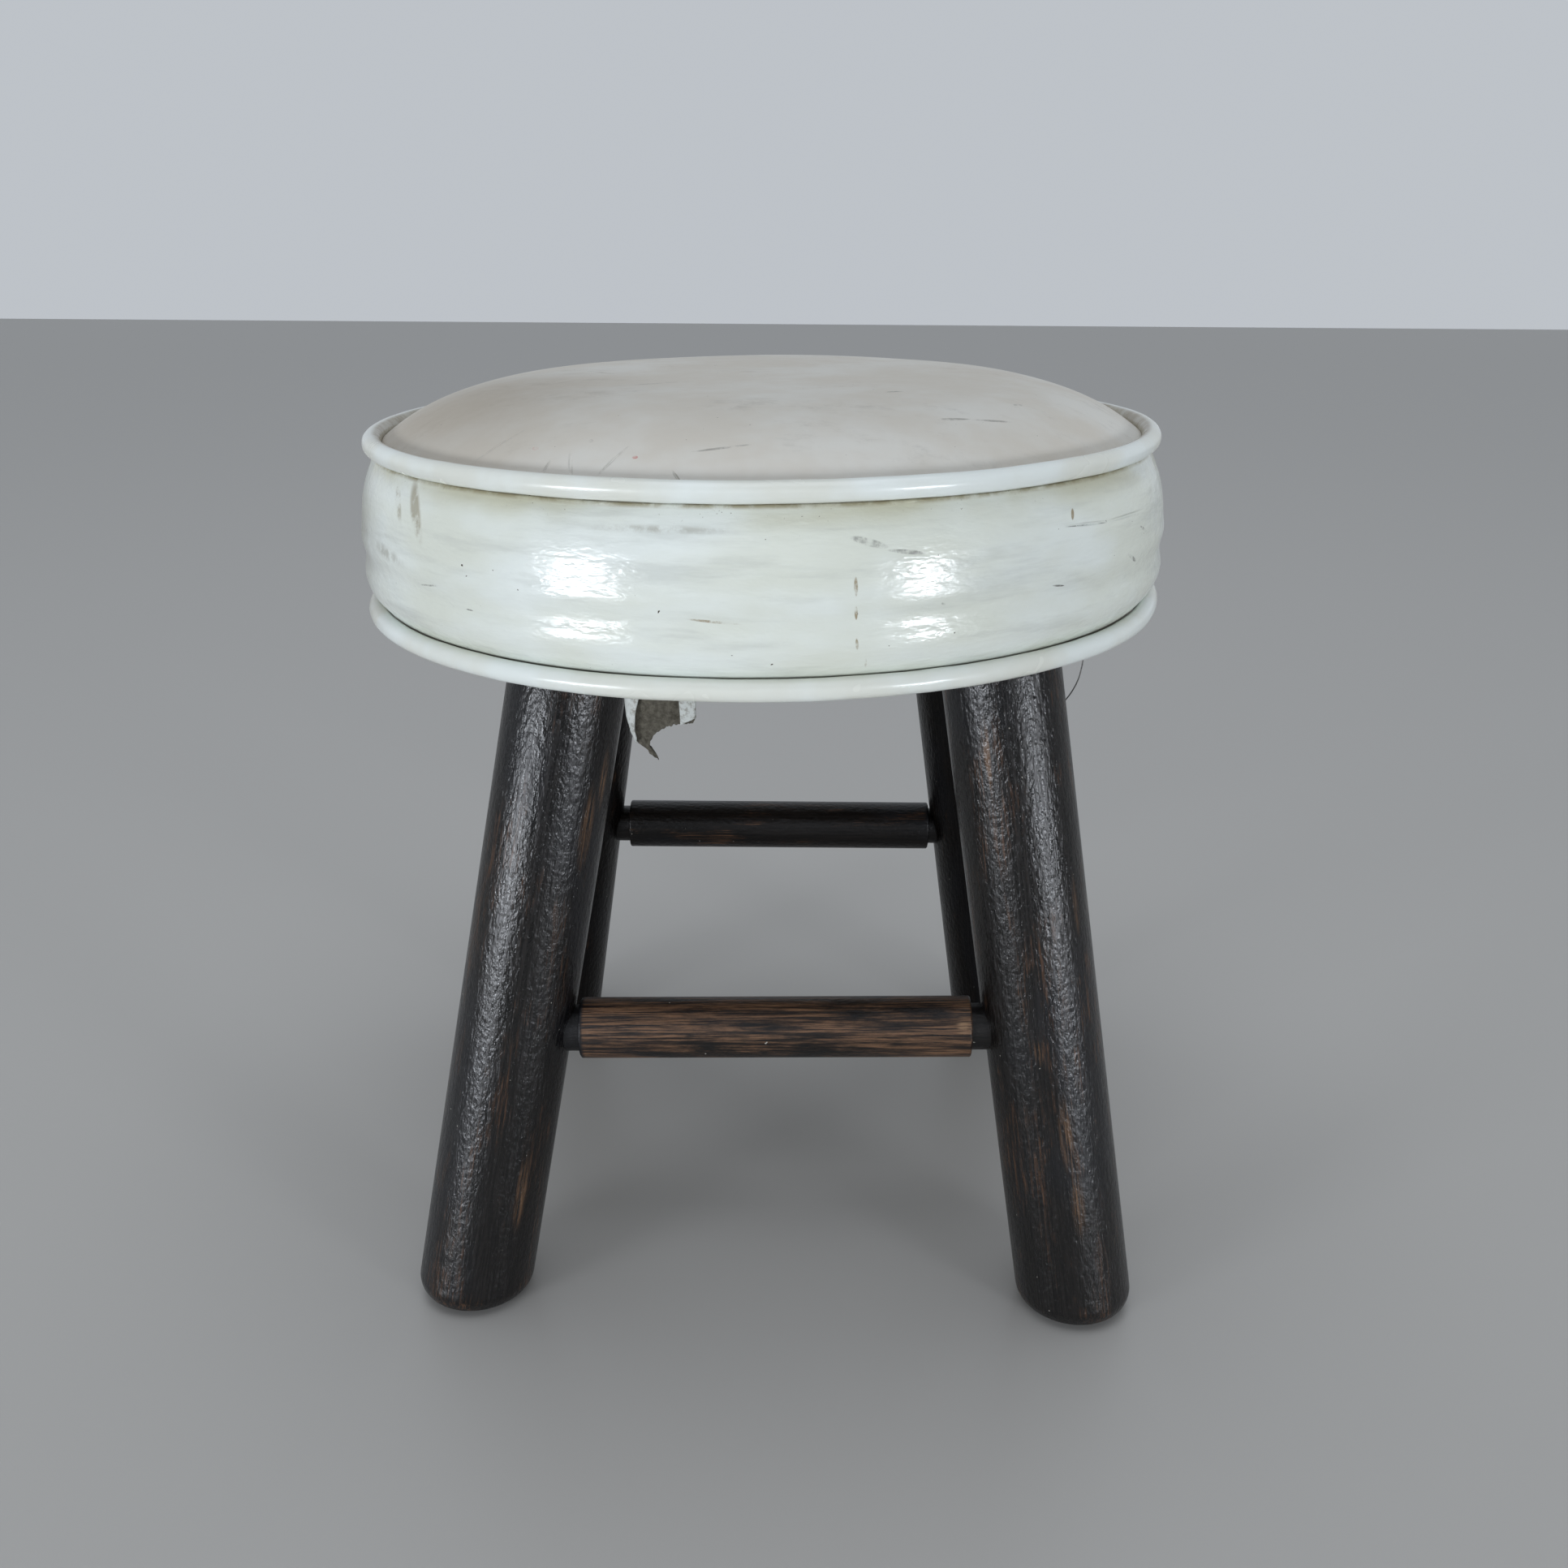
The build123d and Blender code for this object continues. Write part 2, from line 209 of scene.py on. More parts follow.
def rumple(angle, along, pitch, length, seed):
    """Smooth noise from -1 to 1 round the seat: pitch is a fold's width, length its reach, in mm."""
    turn_x = np.cos(angle) * HIGH_RING_R / pitch + SEED_STEPS[0] * seed
    turn_y = np.sin(angle) * HIGH_RING_R / pitch + SEED_STEPS[1] * seed
    places = np.broadcast_arrays(turn_x, turn_y, along / length)
    flat = np.stack([axis.ravel() for axis in places], axis=-1).tolist()
    values = np.array([noise.noise(place) for place in flat])
    return values.reshape(places[0].shape)


def bell(distance, spread):
    """A soft hump that is 1 at no distance and fades over the spread."""
    return np.exp(-((distance / spread) ** 2))


folds = rumple(round_angles(90), 0, 10, 1, 0)
print("folds of 10 mm run from", round(folds.min(), 2), "to", round(folds.max(), 2))

# %% Skins
VINYL = 1.1
DRAWN_VINYL = VINYL - 0.1


def skin(name, points, node, ring=True, joined=False, capped=False):
    """Skins a grid of points and fits it to the stool.

    Ring ties the last column to the first, joined ties the last row to the first, and capped
    closes the last row with a point in its middle.
    """
    index = np.arange(points[..., 0].size).reshape(points.shape[:2])
    if ring:
        index = np.hstack([index, index[:, :1]])
    if joined:
        index = np.vstack([index, index[:1]])
    corners = [index[:-1, :-1], index[:-1, 1:], index[1:, 1:], index[1:, :-1]]
    faces = np.stack([corner.ravel() for corner in corners], axis=-1).tolist()
    flat = points.reshape(-1, 3).tolist()
    if capped:
        rim = index[-1].tolist()
        faces += [(first, second, len(flat)) for first, second in zip(rim, rim[1:])]
        flat.append(points[-1].mean(axis=0).tolist())
    mesh = bpy.data.meshes.new(name)
    mesh.from_pydata(flat, [], faces)
    mesh.polygons.foreach_set("use_smooth", [True] * len(faces))
    piece = bpy.data.objects.new(name, mesh)
    fit(piece, node)
    print(name, "faces:", len(faces))
    return piece


def thicken(piece, thickness):
    """Gives a drawn skin its real thickness, inwards."""
    solid = piece.modifiers.new("thickness", "SOLIDIFY")
    solid.thickness = thickness * MM
    solid.offset = -1.0


print("cloth is drawn", round(DRAWN_VINYL, 2), "mm thick")

# %% [markdown]
# ## Top panel
# The leathercloth of the top is pulled over a domed pad and sewn into the piping all round. It
# is nearly flat in the middle and falls away fast at the edge, so its height follows a high
# power of the radius. The first rings stand behind the piping, where the seam turns down.

# %% Top panel
TOP_LOW, TOP_HIGH = span("cover_top")[2:]
DOME_EDGE_R = HIGH_RING_R - HIGH_CORD_R - VINYL - 0.05
DOME_RISE = TOP_HIGH - HIGH_RING_H
DOME_POWER = 5.5
DOME_STEPS = 90
RING_CROWDING = 1.12
SMALLEST_RING = 0.004
TUCK_STEPS = 5
TUCK_R = HIGH_RING_R - 2 * VINYL - 0.2
SEAM_GAP = 0.3


def dome_height(share):
    """Height of the dome at a share of its radius."""
    return HIGH_RING_H + DOME_RISE * (1 - share**DOME_POWER)


top_angle = round_angles(480)
dome_share = (1 - np.linspace(0, 1, DOME_STEPS) ** RING_CROWDING)[:-1]
dome_r = DOME_EDGE_R * np.maximum(dome_share, SMALLEST_RING)
tuck_h = np.linspace(TOP_LOW + SEAM_GAP, HIGH_RING_H - 0.8, TUCK_STEPS)
tuck_r = np.append(np.full(TUCK_STEPS - 1, TUCK_R), DOME_EDGE_R + SEAM_GAP)
top_r = np.concatenate([tuck_r, dome_r])[:, None]
top_h = np.concatenate([tuck_h, dome_height(dome_share)])[:, None]
print("dome rises", round(DOME_RISE, 1), "mm above the piping's middle")

# %% [markdown]
# ## Puckers of the top
# Where the cloth is gathered into the seam it makes small radial puckers, most of them at the
# front. Years of sitting have left a sagging ring further in and a few wide dents. All of it is
# noise that is added to the heights and fades out at the seam.

# %% Puckers of the top
PUCKER = 0.10
FRONT_PUCKER = 0.32
PUCKER_REACH = 9
SAG = 0.75
SAG_FROM_EDGE = 28
SAG_WIDTH = 22
DENT = 0.25
DENT_SIZE = 45

from_edge = np.clip(DOME_EDGE_R - top_r, 0, None)
front = 0.5 - 0.5 * np.sin(top_angle)
gather = rumple(top_angle, top_r, 6.5, 60, 1) + 0.6 * rumple(top_angle, top_r, 3.6, 40, 2)
pucker = (PUCKER + FRONT_PUCKER * front**2) * np.exp(-from_edge / PUCKER_REACH) * gather
sag = SAG * rumple(top_angle, 0, 95, 1, 3) * bell(from_edge - SAG_FROM_EDGE, SAG_WIDTH)
dents = rumple(top_angle, 0, DENT_SIZE * HIGH_RING_R / np.maximum(top_r, 1), 1, 4)
dents = DENT * np.clip(from_edge / 40, 0, 1) * dents
fades_at_seam = np.clip(from_edge / 2.5, 0, 1)
top_h = top_h + fades_at_seam * (pucker + sag + dents)
top_points = seat_points(top_r, top_angle, top_h)
cover_top = skin("top_panel", top_points, "cover_top", capped=True)
thicken(cover_top, DRAWN_VINYL)

# %% [markdown]
# ## Band
# The band is one strip of the same cloth, pulled round the pad and sewn between the two rings
# of piping. The stuffing behind it swells it by about 7 mm. Wadding that has settled against
# the edge of the board leaves two soft swellings, one above the other, with a shallow dip
# between them. Near both seams the cloth is slightly puckered, and long, low waves run along it.

# %% Band
BAND_OUTER, BAND_LOW, BAND_HIGH = span("cover_band")[1:]
SEAM_R = HIGH_RING_R - 0.2
BULGE = BAND_OUTER - SEAM_R - 0.3
SWELL_POWER = 3.4
SWELL_LOWERED = 0.2
BAND_INSET = 0.5
# Height, spread and push outwards, in mm, of the upper swelling, the lower one and the dip.
BAND_ROLLS = [(29.5, 3.2, 0.50), (12.5, 6.2, 0.80), (22.0, 4.0, -0.70)]

band_angle = round_angles(540)
band_share = np.linspace(0, 1, 74)[:, None]
band_h = BAND_LOW + (BAND_HIGH - BAND_LOW) * band_share
offset = 2 * band_share - 1
offset = offset + SWELL_LOWERED * (1 - offset**2)
band_r = SEAM_R - BAND_INSET + BULGE * np.clip(1 - np.abs(offset) ** SWELL_POWER, 0, None)
for roll_h, spread, push in BAND_ROLLS:
    band_r = band_r + push * bell(band_h - roll_h, spread)
print("band swells to", round(band_r.max(), 1), "mm from the axis")

# %% Puckers of the band
SEAM_PUCKER = 0.30
LONG_WAVE = 0.22
SHORT_WAVE = 0.10

to_seam = np.minimum(band_share, 1 - band_share) * (BAND_HIGH - BAND_LOW)
loose = np.clip(to_seam / 4, 0, 1)
gather = rumple(band_angle, band_h, 7.5, 30, 5) + 0.5 * rumple(band_angle, band_h, 3.8, 20, 6)
waves = LONG_WAVE * rumple(band_angle, band_h, 55, 22, 7)
waves = waves + SHORT_WAVE * rumple(band_angle, band_h, 24, 7, 8)
band_r = band_r + loose * (SEAM_PUCKER * np.exp(-to_seam / 6) * gather + waves)
band_points = seat_points(band_r, band_angle, band_h)
cover_band = skin("side_band", band_points, "cover_band")
thicken(cover_band, DRAWN_VINYL)

# %% [markdown]
# ## Piping
# Piping is a bias strip of the cover cloth folded round a cord and sewn into the seam. On a
# curve its outside is stretched and its inside crowds into fine wrinkles. Each ring is a tube
# whose radius and centre line wander a little, with the wrinkles on the side that faces the
# seat's axis. The cord inside is drawn too, as three twisted strands of cotton.

# %% Piping
PIPING_SEGMENTS = 600
WANDER = 0.22
RISE = 0.25
WRINKLE = 0.16
UNEVENNESS = 0.12


def tube_points(angle, around, ring_r, height, tube):
    """Points of a tube that is bent into a ring round the seat."""
    return seat_points(ring_r + tube * np.cos(around), angle, height + tube * np.sin(around))


def piping(name, ring_r, tube_r, height, seed, node):
    """One ring of piping: a tube that wanders and wrinkles a little."""
    angle = round_angles(PIPING_SEGMENTS)
    around = np.linspace(0, 2 * math.pi, 40, endpoint=False)[:, None]
    wander = WANDER * rumple(angle, 0, 42, 1, seed)
    rise = RISE * rumple(angle, 0, 55, 1, seed + 1)
    crowd = np.clip(-np.cos(around), 0, 1) ** 1.5
    wrinkle = WRINKLE * crowd * rumple(angle, np.sin(around), 2.6, 2.0, seed + 2)
    uneven = UNEVENNESS * rumple(angle, np.sin(around), 12, 1.5, seed + 3)
    tube = tube_r - 0.1 + wrinkle + uneven
    points = tube_points(angle, around, ring_r + wander, height + rise, tube)
    return skin(name, points, node, joined=True)


RINGS = [
    ("upper", "top", HIGH_RING_R, HIGH_CORD_R, HIGH_RING_H, 11),
    ("lower", "bottom", LOW_RING_R, LOW_CORD_R, LOW_RING_H, 21),
]
pipings = [
    piping(level + "_piping_ring", ring_r, cord_r + VINYL, height, seed, end + "_piping")
    for level, end, ring_r, cord_r, height, seed in RINGS
]

# %% Cords in the piping
STRANDS = 3
STRAND_TURN = 14


def twisted_cord(name, ring_r, tube_r, height, node):
    """The cotton cord in a piping: three strands that twist round each other."""
    turns = round(2 * math.pi * ring_r / STRAND_TURN)
    angle = round_angles(PIPING_SEGMENTS)
    around = np.linspace(0, 2 * math.pi, 18, endpoint=False)[:, None]
    strand = np.abs(np.cos(STRANDS * around / 2 - turns * angle))
    points = tube_points(angle, around, ring_r, height, tube_r * (0.74 + 0.2 * strand))
    return skin(name, points, node, joined=True)


welt_cords = [
    twisted_cord(level + "_welt_cord", ring_r, cord_r, height, end + "_piping_cord")
    for level, end, ring_r, cord_r, height, _ in RINGS
]

# %% [markdown]
# ## Stuffing
# Under the cover lie a block of foam and a layer of cotton wadding. Nobody sees them until the
# cover is opened, but they are parts of the stool, so both follow their CAD solids: the foam
# with slightly uneven cut faces, and the wadding as a lumpy layer over it.

# %% Foam and wadding
PAD_POWER = 2.6


def pad_radius(height):
    """Radius of the stuffed seat, without the band's rolls, at a height."""
    share = (height - BAND_LOW) / (BAND_HIGH - BAND_LOW)
    return SEAM_R + BULGE * (1 - abs(2 * share - 1) ** PAD_POWER)


def stuffing(node, inset, lumps, seed):
    """A layer of the stuffing, an inset behind the cover, with lumps of the given height."""
    side_h = np.linspace(span(node)[2] + SEAM_GAP, HIGH_RING_H - 4, 16)
    crown_share = np.linspace(1, 0.01, 30)
    radius = np.concatenate([pad_radius(side_h) - inset, (DOME_EDGE_R - inset) * crown_share])
    height = np.concatenate([side_h, dome_height(crown_share) - inset])
    radius, height = radius[:, None], height[:, None]
    angle = round_angles(180)
    bumps = lumps * rumple(angle, radius + height, 14, 14, seed)
    points = seat_points(radius + bumps, angle, height)
    piece = skin(node + "_layer", points, node, capped=True)
    return piece


foam_pad = stuffing("foam_pad", 5.6, 0.15, 31)
wadding = stuffing("wadding", 2.2, 0.5, 32)
thicken(wadding, 2.6)

# %% [markdown]
# ## Lines of the legs
# The hem is cut round the legs, and later each piece of wood gets its grain along its own
# length, so the line through the middle of each long node is measured from its two ends.

# %% Leg lines
LEG_NAMES = ("front_left", "front_right", "back_left", "back_right")
NEAR_SLICE = 0.4 * MM
FAR_SLICE = 0.6 * MM


def axis_ends(node, along):
    """The middles of the two ends of a long CAD node, lowest first along the given direction."""
    points = np.array([vertex.co[:] for vertex in NODES[node].data.vertices])
    reach = points @ np.array(along)
    near = points[reach < reach.min() + NEAR_SLICE]
    far = points[reach > reach.max() - FAR_SLICE]
    return [Vector(((end.min(axis=0) + end.max(axis=0)) / 2).tolist()) for end in (near, far)]


LEGS = {name: axis_ends("leg_" + name, (0, 0, 1)) for name in LEG_NAMES}
for leg_name, ends in LEGS.items():
    print(leg_name, [[round(x / MM) for x in end] for end in ends])

# %% [markdown]
# ## Hem
# Below the bottom piping the cover goes on as a strip that is turned under the board and
# tacked. It is cut round each leg, its edge is not straight, and because the strip has to get
# shorter towards the middle it lies in small pleats. At one place, under the front, it has torn
# away from its tacks, so the grid leaves that sector out.

# %% Edges of the hem
HEM_INNER, HEM_OUTER, HEM_LOW = span("cover_hem")[:3]
HEM_EDGE_R = HEM_OUTER - 0.2
LEG_R = 22.2
LEG_GAP = 1.6
TEAR_ANGLE = math.radians(-104)
TEAR_HALF = math.radians(5.6)


def hem_inner_edge(angle):
    """Radius of the hem's inner edge: uneven, and cut back behind each leg that it meets."""
    edge = HEM_INNER + 0.5 + 0.9 * (1 + rumple(angle, 0, 16, 1, 41))
    for foot, head in LEGS.values():
        share = (SEAT_ORIGIN.z - foot.z) / (head.z - foot.z)
        place = foot.lerp(head, share) / MM
        distance, bearing = math.hypot(place.x, place.y), math.atan2(place.y, place.x)
        across = distance * np.sin(angle - bearing)
        ahead = distance * np.cos(angle - bearing)
        reach = (LEG_R + LEG_GAP) ** 2 - across**2
        behind = np.where((reach > 0) & (ahead > 0), ahead + np.sqrt(np.maximum(reach, 0)), 0)
        edge = np.maximum(edge, behind)
    return edge


turn_share = np.linspace(0, 1, 720)[None, :]
hem_angle = TEAR_ANGLE + TEAR_HALF + turn_share * (2 * math.pi - 2 * TEAR_HALF)
inner_edge = hem_inner_edge(hem_angle)
print("hem from", round(HEM_INNER, 1), "to", round(HEM_OUTER, 1), "mm")

# %% Pleats of the hem
FRAY = 1.2
FRAY_REACH = 1.5
PLEAT = 0.45
RIPPLE = 0.2
HEM_MIDDLE_R = 140
TURN_UP = np.array([[3.0], [6.5], [10.0]])

reach_share = np.linspace(0, 1, 26)[:, None]
hem_r = inner_edge + (HEM_EDGE_R - inner_edge) * reach_share
to_tear = np.minimum(turn_share, 1 - turn_share) * 2 * math.pi * HEM_MIDDLE_R
frayed = FRAY * rumple(0, reach_share * 9, 1, 1, 42) * np.exp(-to_tear / FRAY_REACH)
hem_angle = hem_angle + frayed / HEM_MIDDLE_R * np.where(turn_share < 0.5, 1, -1)
pleat = np.clip(rumple(hem_angle, hem_r, 8.5, 70, 43) * 2, -0.4, 1)
hem_drop = PLEAT * (1 - reach_share) ** 0.7 * pleat + RIPPLE * rumple(hem_angle, hem_r, 4, 9, 44)
hem_h = HEM_LOW + 0.25 - hem_drop * np.clip((HEM_EDGE_R - hem_r) / 5, 0, 1)

upright = (len(TURN_UP), turn_share.size)
hem_h = np.vstack([hem_h, np.broadcast_to(HEM_LOW + TURN_UP, upright)])
hem_r = np.vstack([hem_r, np.full(upright, HEM_EDGE_R)])
hem_angle = np.vstack([hem_angle, np.broadcast_to(hem_angle[-1], upright)])
hem_points = seat_points(hem_r, hem_angle, hem_h)
cover_hem = skin("turned_hem", hem_points, "cover_hem", ring=False)
thicken(cover_hem, 0.9)

# %% [markdown]
# ## Torn flap
# The torn piece of the hem still hangs on by its upper edge, behind the bottom piping. Its
# grey knitted backing faces forward, and both its torn sides have curled over, so that their
# white, glossy face shows. It is one sheet: the grid starts at the free edge of the left curl,
# goes round the fold, over the tongue and round the right fold. A Solidify modifier then gives
# the two sides of the sheet two materials, white cloth outside and grey backing inside.

# %% Outline of the flap
LEFT_FOLD = -11.6
LEFT_DRIFT = 3.7
LEFT_DEPTH = 19.6
LEFT_CURL = 6.4
RIGHT_FOLD = 13.3
RIGHT_DEPTH = 9.5
RIGHT_CURL = 5.6
# Share of the tongue's width and depth of its torn edge below the hem, in mm.
TONGUE_EDGE = [
    (0, LEFT_DEPTH), (0.08, 21.9), (0.10, 22.8), (0.125, 25.4), (0.14, 25.9), (0.155, 21.5),
    (0.21, 19.2), (0.30, 17.2), (0.41, 15.4), (0.54, 13.8), (0.68, 12.6), (0.85, 12.0),
    (0.95, 11.4), (1, RIGHT_DEPTH),
]


def left_fold(drop):
    """How far left the flap's left fold is at a distance below the hem."""
    return LEFT_FOLD + LEFT_DRIFT * (drop / LEFT_DEPTH) ** 3


row = np.linspace(0, 1, 40)[:, None]
curl = np.linspace(0, 1, 12)[None, :]
tongue = np.linspace(0, 1, 110)[None, 1:-1]

# %% Curls and tongue
LEFT_CURL_OUT = 1.7
RIGHT_CURL_OUT = 2.1
TONGUE_SAG = 0.9
SWING = 1.6


def swing(share):
    """How far the lower end of the flap has swung back at a share of the tongue's width."""
    return SWING * row**2 * np.sin(2.6 * share + 0.4)


free = curl[:, ::-1]
left_drop = row * (LEFT_DEPTH - 1.7 * free)
left_across = left_fold(left_drop) + np.clip(LEFT_CURL - 0.29 * left_drop, 0.6, None) * free
left_out = LEFT_CURL_OUT * np.sqrt(free) * (0.75 + 0.25 * row)

tongue_drop = row * np.interp(tongue, *zip(*TONGUE_EDGE))
tongue_across = left_fold(tongue_drop) + (RIGHT_FOLD - left_fold(tongue_drop)) * tongue
tongue_out = -TONGUE_SAG * np.sin(math.pi * tongue) ** 0.5 - swing(tongue)

right_drop = row * (RIGHT_DEPTH + 2.3 * curl)
right_across = RIGHT_FOLD - RIGHT_CURL * curl + 0.7 * row * curl
right_out = RIGHT_CURL_OUT * np.sqrt(curl) * (0.6 + 0.4 * row) - swing(1)

flap_across = np.hstack([left_across, tongue_across, right_across])
flap_out = np.hstack([left_out, tongue_out, right_out])
flap_drop = np.hstack([left_drop, tongue_drop, right_drop])
print("flap grid:", flap_drop.shape)

# %% Sheet of the flap
CRUMPLE = 0.45
TORN_EDGE = 0.55
FLAP_R = 147.0
FLAP_TOP_H = HEM_LOW + 0.4
FLAP_THICKNESS = 0.6

places = list(zip(flap_across.ravel(), flap_drop.ravel()))
crumpled = np.array([noise.noise((x / 3.4, y / 3.0, 2.0)) for x, y in places])
torn = np.array([noise.noise((x / 0.9, 5.0, 1.0)) for x, y in places])
flap_out = flap_out + CRUMPLE * crumpled.reshape(flap_out.shape) * np.clip(row * 3, 0, 1)
flap_drop = flap_drop + TORN_EDGE * torn.reshape(flap_drop.shape) * row**4
outward = SEAT_TURN @ Vector((math.cos(TEAR_ANGLE), math.sin(TEAR_ANGLE), 0))
flap_frame = np.array([SEAT_AXIS.cross(outward), outward, -SEAT_AXIS])
flap_top = np.array(seat_spot(FLAP_R, math.degrees(TEAR_ANGLE), FLAP_TOP_H))
flap_points = flap_top + np.stack([flap_across, flap_out, flap_drop], axis=-1) * MM @ flap_frame
torn_flap = skin("hanging_flap", flap_points, "torn_flap", ring=False)
thicken(torn_flap, FLAP_THICKNESS)
torn_flap.modifiers["thickness"].material_offset = 1

# %% [markdown]
# ## Materials: helpers
# Every finish is a small network of nodes. Colours are written as the hex values that a paint
# chart uses and turned to linear light by one function. Another function adds a node with its
# settings and links. Patterns are laid in object coordinates, which are metres, so the scale of
# a noise is one over the size of its grain. A finish is then painted as a finisher would do it:
# a base colour, and over it one colour after another where some patterns have passed a limit.

# %% Material helpers
def colour(code):
    """Linear red, green, blue and alpha of an sRGB hex value."""
    parts = [int(code[place:place + 2], 16) / 255 for place in (1, 3, 5)]
    linear = [part / 12.92 if part <= 0.04045 else ((part + 0.055) / 1.055) ** 2.4 for part in parts]
    return (*linear, 1.0)


def wire(node, inputs):
    """Fills a node's inputs with values, or links them to other nodes' outputs."""
    for socket, value in inputs.items():
        if isinstance(value, bpy.types.NodeSocket):
            node.id_data.links.new(value, node.inputs[socket])
        else:
            node.inputs[socket].default_value = value


def add(near, kind, inputs=None, output=0, **settings):
    """Adds a node with its settings and links and returns one of its outputs.

    Near is the node tree itself or anything in it, such as a socket.
    """
    node = near.id_data.nodes.new("ShaderNode" + kind)
    for name, value in settings.items():
        setattr(node, name, value)
    wire(node, inputs or {})
    return node.outputs[output]


def per(size):
    """The texture scale that gives features of a size in millimetres."""
    return 1 / (size * MM)


def new_finish(name):
    """A material with its shader and its object coordinates."""
    material = bpy.data.materials.new(name)
    material.use_nodes = True
    place = add(material.node_tree, "TexCoord", output="Object")
    return material, material.node_tree.nodes["Principled BSDF"], place


def dress(piece, *materials):
    """Gives a drawn piece or a CAD node its finishes."""
    piece.data.materials.clear()
    for material in materials:
        piece.data.materials.append(material)


print("grey of a mid hex value:", round(colour("#808080")[0], 3))

# %% [markdown]
# ## Materials: patterns
# Three steps are used again and again: a grain of some size that is drawn out along a
# direction, a mask of the places where one or more patterns have passed their limits, and a
# colour laid over another in such places. The last step wires the result to the shader, with
# relief as a stack of bumps whose depths are in mm. Each socket knows the tree that it is in.

# %% Pattern helpers
def grain(place, size, detail=2.0, stretch=(1, 1, 1), roughness=0.5):
    """Smooth noise of a size in mm, drawn out by the given factors."""
    drawn = add(place, "Mapping", {"Vector": place, "Scale": [1 / factor for factor in stretch]})
    inputs = {"Vector": drawn, "Scale": per(size), "Detail": detail, "Roughness": roughness}
    return add(place, "TexNoise", inputs)


def where(*limits):
    """A soft mask of the places where all patterns pass their limits.

    Each limit is a pattern, its value where the mask starts and its value where it is full, and
    optionally the mask's own values at the two.
    """
    mask = None
    for pattern, start, full, *ends in limits:
        least, most = ends or (0.0, 1.0)
        inputs = {"Value": pattern, "From Min": start, "From Max": full}
        inputs |= {"To Min": least, "To Max": most}
        step = add(pattern, "MapRange", inputs, interpolation_type="SMOOTHSTEP")
        if mask is None:
            mask = step
        else:
            mask = add(step, "Math", {0: mask, 1: step}, operation="MULTIPLY")
    return mask


def lay(under, over, *limits):
    """Lays a colour over another, as hex values or sockets, where all patterns pass their limits."""
    mask = where(*limits)
    under, over = (colour(tone) if isinstance(tone, str) else tone for tone in (under, over))
    return add(mask, "Mix", {0: mask, 6: under, 7: over}, output=2, data_type="RGBA")


def surface(shader, tone, roughness, ior, heights=(), more=()):
    """Wires the shader, with a stack of bumps: each is a height from 0 to 1 and its depth in mm."""
    inputs = {"Base Color": tone, "Roughness": roughness, "IOR": ior} | dict(more)
    for height, depth in heights:
        bump = {"Height": height, "Distance": depth * MM, "Strength": 1.0}
        if "Normal" in inputs:
            bump["Normal"] = inputs["Normal"]
        inputs["Normal"] = add(shader, "Bump", bump)
    wire(shader, inputs)


print("noise scale for 1 mm grain:", round(per(1.0)))

# %% [markdown]
# ## Marks on the cloth
# Stains, scuffs and creases are placed on the cover where they are on the real seat. Each
# is an oval between two places on the cloth with a width. A Mapping node moves the coordinates
# into the oval, where a spherical gradient fades from its middle to its rim, and noise breaks it up.

# %% Marks
def band_spot(degrees, height):
    """A place on the band, from its angle and its height above the bottom piping."""
    return seat_spot(pad_radius(height), degrees, height)


def dome_spot(degrees, radius):
    """A place on the top panel, from its angle and its distance from the middle."""
    return seat_spot(radius, degrees, dome_height(min(radius / DOME_EDGE_R, 1)))


def blob(place, centre, size, turn=(0, 0, 0)):
    """A mask that fades from 1 in the middle of a turned oval body to 0 at its surface."""
    inputs = {"Vector": place, "Location": centre, "Rotation": turn, "Scale": size}
    inside = add(place, "Mapping", inputs, vector_type="TEXTURE")
    return add(place, "TexGradient", {"Vector": inside}, output=1, gradient_type="SPHERICAL")


def oval(place, start, end, width):
    """A blob that lies on the cover along a line from start to end."""
    along = end - start
    outward = start - (SEAT_ORIGIN + SEAT_AXIS * (HIGH_RING_H * MM / 2))
    across = outward.cross(along).normalized()
    depth = along.cross(across).normalized()
    turn = Matrix((along.normalized(), across, depth)).transposed()
    half_width = width * MM / 2
    size = (along.length / 2 + half_width, half_width, max(width, 3.0) * MM)
    return blob(place, (start + end) / 2, size, turn.to_euler())


def marks(place, spot, strokes):
    """All of one kind of mark as one mask: strokes from one spot to another, with a width."""
    total = None
    for first, second, width in strokes:
        mask = oval(place, spot(*first), spot(*second), width)
        if total is None:
            total = mask
        else:
            total = add(place, "Math", {0: total, 1: mask}, operation="MAXIMUM")
    return total


print("front of the band at", [round(part, 4) for part in band_spot(-90, 25)])

# %% [markdown]
# ## Leathercloth
# The cover is PVC-coated fabric, in the trade called leathercloth or vinyl: a knitted backing
# with a soft PVC skin that was rolled with a fine grain while it was hot. PVC has an IOR of
# about 1.53. A new skin has a roughness near 0.3, which shows windows as bright, soft-edged
# patches; wiped clean and pulled tight, the band is glossier still. Height above the bottom
# piping, along the seat's own axis, says how near a seam is. Wiping has left level grey streaks.

# %% Leathercloth of the band
PVC_IOR = 1.53
SEAT_FRAME = {"Location": SEAT_ORIGIN, "Rotation": SEAT_TURN.to_euler()}

